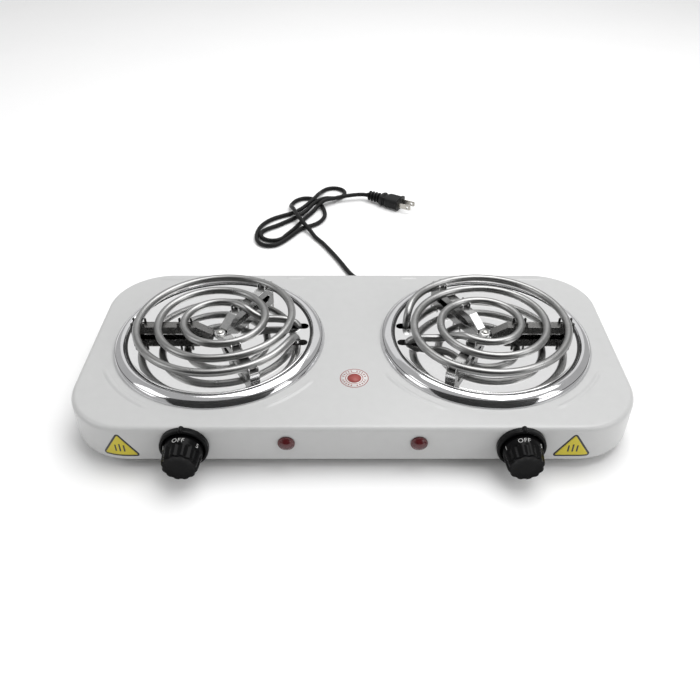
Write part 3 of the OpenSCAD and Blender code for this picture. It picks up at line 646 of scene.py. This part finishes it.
def makeRidges():
    look = ribLook
    parts = []
    for side, start, stop in look["arcs"]:
        spots = []
        for k in range(look["steps"] + 1):
            a = math.radians(start + (stop - start) * k / look["steps"])
            spots.append(Vector((side * housingLook["burnerX"] + look["radius"] * math.cos(a),
                                 housingLook["burnerY"] + look["radius"] * math.sin(a), look["top"])) * mm)
        parts.append(raisedLine(spots))
    for x, y, half in look["bars"]:
        parts.append(raisedLine([Vector((x + half * (k / 8 - 1), y, look["top"])) * mm for k in range(17)]))
    meshPiece("pressed_ridges", joined(*parts), "paint")


makeHousing()
makeRidges()
print("housing pressed")

# ---- burners ----
burnerLook = {
    "x": housingLook["burnerX"], "y": housingLook["burnerY"], "steps": 160,
    "top": housingLook["top"], "roof": housingLook["top"] - housingLook["sheet"],
    "mirror": 49.5, "sheet": 0.8,
    "ringR": 96.6, "crestR": 88, "outerShape": 1.25, "crest": 52, "beadIn": 85, "spigotR": 81.7,
    "plateR": 84.85, "boltR": 2.1, "slotFrom": 61.5, "slotTo": 81.5, "slotWidth": 8.5,
    "tube": 7.1, "coil": 64.0, "outerR": 73, "middleR": 54, "innerR": 31, "legX": 72, "legY": 12.5,
    "legFoot": 30, "under": 56.2, "firstAngle": -15, "from": 0.09, "to": 2.82, "turnSteps": 220,
    # where the turns step in: the start and the length of each step, in turns
    "firstStep": (0.78, 0.42), "secondStep": (1.5, 0.88), "tubeSides": 20,
    "armTop": 60.4, "armWidth": 9, "armEnd": 80, "hubR": 5.5, "hubTop": 52.1, "armSlope": 14,
    "earGap": 0.6, "earRise": 5.0, "earWidth": 2.2, "notchRise": 3.4, "clear": 0.02,
    "capSheet": 0.9, "boltFoot": 37.8, "armAngles": (180, 60, -60),
}
sides = (("left", -1), ("right", 1))


def burnerPlace(side):
    return shifted(side * burnerLook["x"], burnerLook["y"]) @ turned(180 if side > 0 else 0, "Z")


def coilSpot(turns):
    look = burnerLook
    first, firstLength = look["firstStep"]
    second, secondLength = look["secondStep"]
    radius = look["outerR"] + (look["middleR"] - look["outerR"]) * ease((turns - first) / firstLength)
    radius += (look["innerR"] - look["middleR"]) * ease((turns - second) / secondLength)
    a = math.radians(look["firstAngle"] - 360 * turns)
    return Vector((radius * math.cos(a), radius * math.sin(a), look["coil"]))


def coilRadius(turns):
    spot = coilSpot(turns)
    return math.hypot(spot.x, spot.y)


def coilLine():
    look = burnerLook
    start = coilSpot(look["from"])
    end = coilSpot(look["to"])
    startWay = unit(start - coilSpot(look["from"] + 0.01))
    endWay = unit(end - coilSpot(look["to"] - 0.01))
    under = Vector((look["middleR"] - 8, look["legY"] + 2.5, look["under"]))
    pull = Vector((12, 0.5, 0))

    def leg(way, z):
        return Vector((look["legX"], way * look["legY"], z))

    outerLeg = bezier(leg(-1, look["mirror"] - 3), leg(-1, look["coil"] + 4),
                      start + 24 * startWay, start, 24)
    span = look["to"] - look["from"]
    turns = [coilSpot(look["from"] + span * i / look["turnSteps"]) for i in range(look["turnSteps"] + 1)]
    dip = bezier(end, end + 9 * endWay, under - pull, under, 14)
    innerLeg = bezier(under, under + pull, leg(1, look["mirror"] + 6.5), leg(1, look["mirror"] - 3), 20)
    line = [leg(-1, look["legFoot"])] + outerLeg + turns + dip + innerLeg + [leg(1, look["legFoot"])]
    kept = [line[0]]
    for p in line[1:]:
        if (p - kept[-1]).length > 0.3:
            kept.append(p)
    return kept


def makeCoil(name, side):
    look = burnerLook
    line = [p * mm for p in coilLine()]
    part = tube(line, look["tube"] / 2 * mm, look["tubeSides"])
    coil = meshPiece("element_" + name, moved(part, burnerPlace(side)), "sheath")
    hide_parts("coil_" + name)


def makeRing(name, side):
    look = burnerLook
    # the outer face is nearly straight, with a rounded crest
    crest = look["crest"]
    crestR = look["crestR"]
    power = look["outerShape"]
    profile = []
    for k in range(25):
        a = math.radians(90 * k / 24)
        profile.append((crestR + (look["ringR"] - crestR) * math.cos(a) ** power,
                        look["top"] + (crest - look["top"]) * math.sin(a) ** power))
    bead = look["beadIn"]
    for k in range(1, 10):
        a = math.radians(10 * k)
        profile.append((crestR - (crestR - bead) * math.sin(a),
                        crest - (crest - look["mirror"]) * (1 - math.cos(a))))
    spigot = look["spigotR"]
    sheet = look["sheet"]
    ledge = look["mirror"] - sheet
    profile += [(bead, ledge + 0.05), (bead - 0.05, ledge), (spigot + 0.3, ledge), (spigot, ledge - 0.3),
                (spigot, look["roof"]), (spigot + sheet, look["roof"]), (spigot + sheet, ledge - 1),
                (bead + 0.6, ledge - 1), (crestR, crest - 1), (look["ringR"] - 2.5, look["top"] + 3),
                (look["ringR"] - sheet, look["top"])]
    part = spun(inMm(profile), look["steps"], closed=True)
    ring = meshPiece("chrome_ring_" + name, moved(part, burnerPlace(side)), "chrome")
    # painted shade: the ledge under the mirror plate gets a near-black finish, so the groove at the plate's
    # rim reads as a dark seam
    ring.data.materials.append(finishes["seamShadeAndCard"])
    for face in ring.data.polygons:
        if abs(face.center.z - ledge * mm) < 0.15 * mm:
            face.material_index = 1
    standsFor(ring, "burner_ring_" + name)


def slotCutter(side, way):
    # a round-ended slot where a leg goes through the plate
    look = burnerLook
    half = look["slotWidth"] / 2
    outline = []
    for start, x in ((-90, look["slotTo"] - half), (90, look["slotFrom"] + half)):
        for k in range(17):
            a = math.radians(start + 180 * k / 16)
            outline.append((x + half * math.cos(a), way * look["legY"] + half * math.sin(a)))
    part = slab(inMm(outline), (look["mirror"] - 4) * mm, (look["mirror"] + 4) * mm)
    return cutterMesh(*moved(part, burnerPlace(side)))


def makeMirror(name, side):
    look = burnerLook
    high = look["mirror"]
    low = high - look["sheet"]
    # nearly flat, with a shallow pressed step near its rim
    rim = look["plateR"]
    profile = [(look["boltR"], high), (20, high), (50, high), (rim - 4.2, high), (rim - 3.6, high - 0.12),
               (rim - 2.8, high - 0.12), (rim - 2.7, high), (rim - 2.1, high), (rim - 1.7, high - 0.25),
               (rim - 1.7, low), (50, low), (look["boltR"], low)]
    part = spun(inMm(profile), look["steps"], closed=True)
    plate = meshPiece("mirror_pan_" + name, moved(part, burnerPlace(side)), "mirror")
    cutOut(plate, [slotCutter(side, -1), slotCutter(side, 1)])
    standsFor(plate, "mirror_plate_" + name)


def makeArm(name, side, number, angle):
    look = burnerLook
    turns = ((look["firstAngle"] - angle + 720) % 360) / 360
    half = look["armWidth"] / 2
    t = look["sheet"]
    top = look["armTop"]
    start = look["hubR"] + 0.1
    tubeR = look["tube"] / 2 + look["earGap"]
    # side walls, with a pair of prongs at the outer turn and at the inner turn
    foot = look["mirror"] + look["clear"]
    rise = look["earRise"]
    end = look["armEnd"]
    edge = [(start, foot), (start, look["hubTop"]), (start + look["armSlope"], top)]
    for at in sorted((coilRadius(turns + 2), coilRadius(turns))):
        inner = at - tubeR
        outer = at + tubeR
        edge += [(inner - look["earWidth"], top), (inner - look["earWidth"], top + rise - 1),
                 (inner - 0.4, top + rise), (inner, top + rise - 1), (inner, top), (outer, top),
                 (outer, top + rise - 1), (outer + 0.4, top + rise),
                 (outer + look["earWidth"], top + rise - 1), (outer + look["earWidth"], top)]
    edge = [p for p in edge if p[0] <= end]
    # the underside is cut away between the hub and the outer foot
    notch = foot + look["notchRise"]
    edge += [(end, top), (end, foot), (end - 6, foot), (end - 9, notch),
             (start + 19, notch), (start + 8, foot)]
    upright = turned(90, "X")
    parts = []
    for y in (-half + t, half):
        wall = slab(inMm(edge), 0, t * mm)
        parts.append(moved(moved(wall, upright), shifted(0, y)))
    # the channel's top, from the hub up the slope and out to the end wall
    knee = start + look["armSlope"]
    crown = [(start, look["hubTop"]), (knee, top), (end, top), (end, foot),
             (end - t, foot), (end - t, top - t), (knee, top - t), (start, look["hubTop"] - t)]
    bent = slab(inMm(crown), (t - half) * mm, (half - t) * mm)
    parts.append(moved(bent, upright))
    place = burnerPlace(side) @ turned(angle, "Z")
    # one arm on each burner gets a darker steel tone than the other two
    tone = "armDark" if number == 1 else "arm"
    arm = meshPiece(f"arm_{name}_{number}", moved(joined(*parts), place), tone, smooth=False)
    softenEdges(arm, 0.22 * mm, 2)
    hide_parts(f"support_arm_{name}_{number}")


def makeHub(name, side):
    look = burnerLook
    top = look["hubTop"]
    r = look["hubR"]
    foot = look["mirror"] + look["clear"]
    under = top - look["capSheet"]
    profile = [(look["boltR"], top), (r - 1.2, top), (r - 0.35, top - 0.35), (r, top - 1.2), (r, foot),
               (r - 0.8, foot), (r - 0.8, under), (look["boltR"], under)]
    part = spun(inMm(profile), 64, closed=True)
    hub = meshPiece("hub_cap_" + name, moved(part, burnerPlace(side)), "arm")
    standsFor(hub, "support_hub_" + name)
    # round-headed bolt
    tip = look["boltFoot"]
    head = [(0, top + 1.6), (1.2, top + 1.5), (2.2, top + 1.2), (2.9, top + 0.7), (3.15, top + 0.25),
            (3.2, top), (2, top), (2, tip + 0.5), (1.6, tip), (0, tip)]
    part = spun(inMm(head), 32)
    bolt = meshPiece("centre_bolt_" + name, moved(part, burnerPlace(side)), "fastener")
    standsFor(bolt, "hub_bolt_" + name)


for sideName, sideSign in sides:
    makeRing(sideName, sideSign)
    makeMirror(sideName, sideSign)
    makeCoil(sideName, sideSign)
    makeHub(sideName, sideSign)
    for number, armAngle in enumerate(burnerLook["armAngles"], 1):
        makeArm(sideName, sideSign, number, armAngle)
print("burners built")

# ---- knobs ----
knobLook = {
    "x": 137, "front": -103, "z": 26.5,
    "back": 2.5, "reach": 25, "radius": 16.3, "faceRadius": 14.5, "collar": 5,
    "flutes": 12, "fluteDepth": 1.0, "fluteStart": 12.6, "fluteFade": 1.6, "perFlute": 16,
    "dish": 0.6, "rimRound": 1.4,
    # marks run round the cone, each a step of the dial from the one before
    "marks": ("OFF", "1", "2", "3", "4", "5"), "markStep": 60, "markTurn": 95, "markHeight": 4.1,
    "markAt": 10.0, "markThin": -0.012, "markRaised": 0.1, "fontSize": 1.38,
}


def wallPlace(x, z):
    # local +Z points out of the front wall, local +Y points up
    return shifted(x, knobLook["front"], z) @ turned(90, "X")


def knobRadius(z):
    look = knobLook
    start = look["back"] + look["collar"]
    slope = (z - start) / (look["reach"] - start)
    return look["radius"] + (look["faceRadius"] - look["radius"]) * max(0.0, min(1.0, slope))


def makeKnob(name, side):
    look = knobLook
    body = f"knob_{name}_turning"
    face = look["reach"]
    back = look["back"]
    r = look["radius"]
    profile = [(0, back + 4), (9.5, back + 4), (9.5, back + 0.2), (9.8, back),
               (r - 0.5, back), (r, back + 0.5)]
    z = back + 1
    while z < face - 1.7:
        profile.append((knobRadius(z), z))
        z += 0.75
    # rounded edge and a slightly dished face
    rim = look["faceRadius"]
    edge = look["rimRound"]
    for k in range(7):
        a = math.radians(15 * k)
        profile.append((rim - edge + edge * math.cos(a), face - edge + edge * math.sin(a)))
    profile += [(rim - 2.4, face - 0.05), (rim - 3.4, face - 0.45), (rim * 0.45, face - look["dish"]),
                (0, face - look["dish"] - 0.02)]
    first = look["fluteStart"]

    def fluted(r, height, a):
        height /= mm
        if r < (look["faceRadius"] - 3.2) * mm or height < first:
            return r
        depth = look["fluteDepth"] * ease((height - first) / look["fluteFade"])
        depth *= min(1.0, r / mm / (look["faceRadius"] - 0.6)) ** 6
        return r - depth * mm * (0.5 + 0.5 * math.cos(look["flutes"] * a)) ** 1.4

    part = spun(inMm(profile), look["flutes"] * look["perFlute"], wobble=fluted)
    place = wallPlace(side * look["x"], look["z"])
    knob = meshPiece("dial_knob_" + name, moved(part, place), "knob", body)
    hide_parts("knob_" + name)
    # printed marks, wrapped round the cone behind the flutes
    verts = []
    faces = []
    for number, mark in enumerate(look["marks"]):
        middle = math.radians(look["markTurn"] + look["markStep"] * number)
        base = len(verts)
        letters, letterFaces = letterMesh(mark, look["markHeight"])
        for p in letters:
            h = look["markAt"] - p.y
            r = knobRadius(h) + p.z
            a = middle - p.x / knobRadius(look["markAt"])
            verts.append(place @ (Vector((r * math.cos(a), r * math.sin(a), h)) * mm))
        faces += [tuple(base + i for i in face) for face in letterFaces]
    meshPiece("dial_marks_" + name, (verts, faces), "print", body, smooth=False)


def letterMesh(text, height):
    # plain block letters as a thin solid, centred, in millimetres
    data = bpy.data.curves.new("letters", "FONT")
    data.body = text
    data.size = height * knobLook["fontSize"]
    data.align_x = "CENTER"
    data.extrude = knobLook["markRaised"]
    data.offset = knobLook["markThin"] * height
    data.space_character = 1.08
    data.resolution_u = 3
    obj = placed("letters", data)
    bpy.context.view_layer.update()
    mesh = bpy.data.meshes.new_from_object(obj.evaluated_get(bpy.context.evaluated_depsgraph_get()))
    bm = bmesh.new()
    bm.from_mesh(mesh)
    bmesh.ops.triangulate(bm, faces=bm.faces)
    bm.to_mesh(mesh)
    bm.free()
    lift = Vector((0, -height / 2, knobLook["markRaised"] * 0.5))
    verts = [v.co + lift for v in mesh.vertices]
    faces = [tuple(face.vertices) for face in mesh.polygons]
    bpy.data.objects.remove(obj)
    bpy.data.meshes.remove(mesh)
    return verts, faces


bezelLook = {"radius": 20, "depth": 5.5, "inner": 17.5, "plate": 1.2, "bore": 4.7, "bump": 2.2}


def makeBezel(name, side):
    look = bezelLook
    r = look["radius"]
    d = look["depth"]
    profile = [(look["bore"], 0), (r, 0), (r, d - 1.3), (r - 0.15, d - 0.7), (r - 0.5, d - 0.2), (r - 1.1, d),
               (look["inner"] + 0.4, d), (look["inner"], d - 0.4), (look["inner"], look["plate"]),
               (look["bore"], look["plate"])]
    ring = spun(inMm(profile), 96, closed=True)
    # small index bump at the top
    nub = [(0, d + 0.5), (0.8, d + 0.4), (1.5, d), (look["bump"] - 0.15, d - 0.7), (look["bump"], d - 1.6),
           (look["bump"], 0), (0, 0)]
    bump = moved(spun(inMm(nub), 24), shifted(0, r - 0.6))
    place = wallPlace(side * knobLook["x"], knobLook["z"])
    bezel = meshPiece("dial_surround_" + name, moved(joined(ring, bump), place), "bezel")
    standsFor(bezel, "knob_bezel_" + name)


# ---- pilot lamps ----
lampLook = {"x": 54, "z": 29, "radius": 7, "lip": 1.6, "rise": 3.4}


def makeLamp(name, side):
    look = lampLook
    r = look["radius"]
    dome = r - 0.9
    ball = (dome * dome + look["rise"] ** 2) / (2 * look["rise"])
    profile = [(0, 0), (r, 0), (r, look["lip"] - 0.5), (r - 0.15, look["lip"] - 0.15), (r - 0.5, look["lip"]),
               (dome + 0.05, look["lip"])]
    for k in range(13):
        a = math.asin(dome / ball) * (1 - k / 12)
        profile.append((ball * math.sin(a), look["lip"] + look["rise"] - ball + ball * math.cos(a)))
    part = moved(spun(inMm(profile), 64), wallPlace(side * look["x"], look["z"]))
    lens = meshPiece("pilot_lens_" + name, part, "lens")
    standsFor(lens, "lamp_lens_" + name)


for sideName, sideSign in sides:
    makeKnob(sideName, sideSign)
    makeBezel(sideName, sideSign)
    makeLamp(sideName, sideSign)
print("controls made")

# ---- plain stickers ----
stickerLook = {
    "wallZ": 22.5, "along": {-1: 190.5, 1: 180}, "base": 34, "height": 26.5, "cornerR": 2.4, "border": 1.6,
    "barHeight": 9.5, "barWidth": 1.3, "barApart": 3.6, "barFoot": -3.4,
    "edgeStep": 1.2,
    "sealX": 1.5, "sealY": -40.25, "sealR": 12.5, "ticks": 24, "tickWidth": 0.9,
    # heights above the surface: of the dark sheet, the coloured one and the bars, and of the seal's layers
    "sheets": (0, 0.08, 0.13, 0.16), "sealLayers": (0, 0.08, 0.12),
}


def wallSpot(along, z, out, side):
    # a point on the front wall, measured from its middle and carried on round the corner
    look = housingLook
    straight = look["width"] / 2 - look["cornerR"]
    front = look["middleY"] - look["depth"] / 2
    if along <= straight:
        return Vector((side * along, front - out, z)) * mm
    a = (along - straight) / look["cornerR"]
    r = look["cornerR"] + out
    return Vector((side * (straight + r * math.sin(a)), front + look["cornerR"] - r * math.cos(a), z)) * mm


def roundedTriangle(base, height, radius, shrink):
    corners = [(-base / 2, -height / 3), (base / 2, -height / 3), (0, height * 2 / 3)]
    points = []
    for i, (x, y) in enumerate(corners):
        before = corners[i - 1]
        after = corners[(i + 1) % 3]
        a = unit(Vector((before[0] - x, before[1] - y)))
        b = unit(Vector((after[0] - x, after[1] - y)))
        half = math.acos(a.dot(b)) / 2
        middle = Vector((x, y)) + unit(a + b) * (radius / math.sin(half))
        r = radius - shrink
        # from the outward side of the edge before the corner to that of the edge after it
        start = math.atan2(a.x, -a.y)
        stop = math.atan2(-b.x, b.y)
        sweep = (stop - start) % (2 * math.pi)
        for k in range(9):
            t = start + sweep * k / 8
            points.append((middle.x + r * math.cos(t), middle.y + r * math.sin(t)))
    # short steps along the sides, so that the sheet can follow the wall
    spots = []
    for i, (x, y) in enumerate(points):
        nextX, nextY = points[(i + 1) % len(points)]
        count = max(1, round(math.hypot(nextX - x, nextY - y) / stickerLook["edgeStep"]))
        spots += [(x + (nextX - x) * k / count, y + (nextY - y) * k / count) for k in range(count)]
    return spots


def onWall(outline, side, layer, rings=8):
    # a thin sheet that follows the wall, from its outline to its middle
    look = stickerLook
    low, high = look["sheets"][layer:layer + 2]
    n = len(outline)
    mx = sum(p[0] for p in outline) / n
    my = sum(p[1] for p in outline) / n

    def spot(x, y, out):
        return wallSpot(look["along"][side] + x, look["wallZ"] + y, out, side)

    verts = []
    for k in range(rings):
        share = 1 - k / rings
        verts += [spot(mx + (x - mx) * share, my + (y - my) * share, high) for x, y in outline]
    verts.append(spot(mx, my, high))
    verts += [spot(x, y, low) for x, y in outline]
    faces = bands(rings, n)
    middle = rings * n
    for i in range(n):
        j = (i + 1) % n
        faces.append(((rings - 1) * n + i, (rings - 1) * n + j, middle))
        faces.append((middle + 1 + i, middle + 1 + j, j, i))
    return verts, faces


def makeWallSticker(name, side):
    look = stickerLook
    dark = onWall(roundedTriangle(look["base"], look["height"], look["cornerR"], 0), side, 0)
    gold = onWall(roundedTriangle(look["base"], look["height"], look["cornerR"], look["border"]), side, 1)
    bars = []
    for k in (-1, 0, 1):
        half = look["barWidth"] / 2
        lift = look["barHeight"] * (0.5 if k else 0.62) - 1
        x = k * look["barApart"]
        foot = look["barFoot"]
        outline = [(x - half, foot), (x + half, foot), (x + half, lift), (x - half, lift)]
        bars.append(onWall(outline, side, 2, 2))
    meshPiece("sticker_edge_" + name, dark, "ink")
    meshPiece("sticker_field_" + name, gold, "yellow")
    meshPiece("sticker_bars_" + name, joined(*bars), "ink")


def sealPlace():
    return shifted(stickerLook["sealX"], stickerLook["sealY"], housingLook["top"])


def disc(inner, outer, low, high):
    profile = [(inner, low), (outer, low), (outer, high), (inner, high)]
    return spun(inMm(profile), 96, closed=inner > 0, place=sealPlace())


def makeSeal():
    # round sticker with plain rings and ticks
    look = stickerLook
    r = look["sealR"]
    low, paper, ink = look["sealLayers"]
    meshPiece("seal_disc", disc(0, r, low, paper), "sealWhite")
    rings = joined(disc(r - 0.7, r - 0.1, paper, ink), disc(r - 5.3, r - 4.7, paper, ink),
                   disc(0, r - 6.4, paper, ink))
    meshPiece("seal_rings", rings, "sealRed")
    half = look["tickWidth"] / 2
    tick = [(r - 3.6, -half), (r - 1.9, -half), (r - 1.9, half), (r - 3.6, half)]
    tick = slab(inMm(tick), paper * mm, ink * mm)
    # a quarter of the ring at a time, with a gap between the quarters
    turns = [360 * k / look["ticks"] for k in range(look["ticks"]) if k % (look["ticks"] // 4)]
    ticks = [moved(tick, sealPlace() @ turned(turn, "Z")) for turn in turns]
    meshPiece("seal_ticks", joined(*ticks), "sealRed")


for sideName, sideSign in sides:
    makeWallSticker(sideName, sideSign)
makeSeal()
print("stickers placed")

# ---- feet ----
footLook = {"x": 195, "y": 77.5, "middleY": housingLook["middleY"], "radius": 10, "height": 11, "pegR": 2.9,
            "pegTop": 12.8}


def makeFoot(name, sx, sy):
    look = footLook
    r = look["radius"]
    profile = [(0, 1.2), (r - 5, 1.2), (r - 4.4, 0), (r - 1.6, 0), (r - 1.0, 0.25), (r - 0.75, 0.9),
               (r, look["height"] - 1.2), (r, look["height"] - 0.4), (r - 0.4, look["height"]),
               (look["pegR"], look["height"]), (look["pegR"], look["pegTop"]), (0, look["pegTop"])]
    place = shifted(sx * look["x"], look["middleY"] + sy * look["y"])
    foot = meshPiece("rubber_foot_" + name, moved(spun(inMm(profile), 48), place), "rubber")
    standsFor(foot, "foot_" + name)


for rowName, rowSign in (("front", -1), ("back", 1)):
    for sideName, sideSign in sides:
        makeFoot(f"{rowName}_{sideName}", sideSign, rowSign)
print("feet fitted")

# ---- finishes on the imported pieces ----
packedFinishes = {
    # finish: the single pieces, and those that come as a left and a right one
    "plated": (("base_plate",), ("clamp_bar", "block_bracket", "element_tabs")),
    "fastener": (("base_screws", "hub_nuts", "bushing_nuts"), ("regulator_shaft",)),
    "ceramic": ((), ("terminal_block",)),
    "inner": (("junction_block",), ("regulator", "lamp_holder")),
    "wire": ((), ("lamp_lead", "supply_lead", "element_lead")),
    "cord": (("inner_cord",), ()),
}
for finishName, (single, paired) in packedFinishes.items():
    pairs = [f"{start}_{sideName}" for start in paired for sideName, _ in sides]
    for nodeName in (*single, *pairs):
        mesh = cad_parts[nodeName].data
        mesh.materials.clear()
        mesh.materials.append(finishes[finishName])
print("packed pieces finished")

# ---- studio ----
studio = {
    "floor": (0.93, 0.93, 0.93), "floorHalf": 6.0, "floorSteps": 24, "floorZ": -0.0002,
    "sky": (1.0, 1.0, 1.0), "skyStrength": 0.50,
    # place, aim, size, power
    "softboxes": [((0.35, 0.35, 1.5), (0.0, 0.0, 0.0), (1.5, 1.2), 19),
                  ((1.3, -0.7, 0.9), (0.1, 0.0, 0.0), (0.9, 0.9), 6),
                  ((-1.4, -0.3, 0.9), (-0.1, 0.0, 0.0), (0.7, 0.9), 3),
                  ((0.0, 1.9, 1.45), (0.0, 0.0, 0.0), (3.4, 1.5), 6.5)],
    # dark card behind the camera, for the dark bands in the polished parts: middle and size
    "card": ((0.0, -0.9, 0.60), (2.3, 1.4)), "cardAim": (0.0, 0.0, 0.05),
}


def aimed(obj, place, aim):
    obj.location = place
    obj.rotation_euler = (Vector(aim) - Vector(place)).to_track_quat("-Z", "Y").to_euler()


def makeStudio():
    size = studio["floorHalf"]
    steps = studio["floorSteps"]
    ticks = [size * (2 * i / steps - 1) for i in range(steps + 1)]
    mesh = bpy.data.meshes.new("floor")
    mesh.from_pydata([(x, y, studio["floorZ"]) for y in ticks for x in ticks], [],
                     bands(steps + 1, steps + 1, wrapped=False))
    floor = placed("floor", mesh)
    floorTone = studio["floor"]
    mesh.materials.append(finish("paleFloor", floorTone, tuple(c * 1.02 for c in floorTone), 0.7, grain=60,
                                 bump=0.01, specular=0.2))
    world = bpy.data.worlds.new("studioSky")
    world.use_nodes = True
    sky = world.node_tree.nodes["Background"]
    sky.inputs["Color"].default_value = (*studio["sky"], 1)
    sky.inputs["Strength"].default_value = studio["skyStrength"]
    bpy.context.scene.world = world
    for number, (place, aim, extent, power) in enumerate(studio["softboxes"]):
        data = bpy.data.lights.new(f"softbox{number}", "AREA")
        data.shape = "RECTANGLE"
        data.size, data.size_y = extent
        data.energy = power
        aimed(placed(f"softbox{number}", data), place, aim)
    place, (width, height) = studio["card"]
    corners = [(x * width / 2, y * height / 2, 0) for x, y in ((-1, -1), (1, -1), (1, 1), (-1, 1))]
    cardMesh = bpy.data.meshes.new("darkCard")
    cardMesh.from_pydata(corners, [], [(0, 1, 2, 3)])
    card = placed("darkCard", cardMesh)
    cardMesh.materials.append(finishes["seamShadeAndCard"])
    aimed(card, place, studio["cardAim"])
    card.visible_diffuse = False
    card.visible_shadow = False
    card.visible_camera = False
    bpy.context.scene.view_settings.view_transform = "Standard"


makeStudio()
print("studio lit")
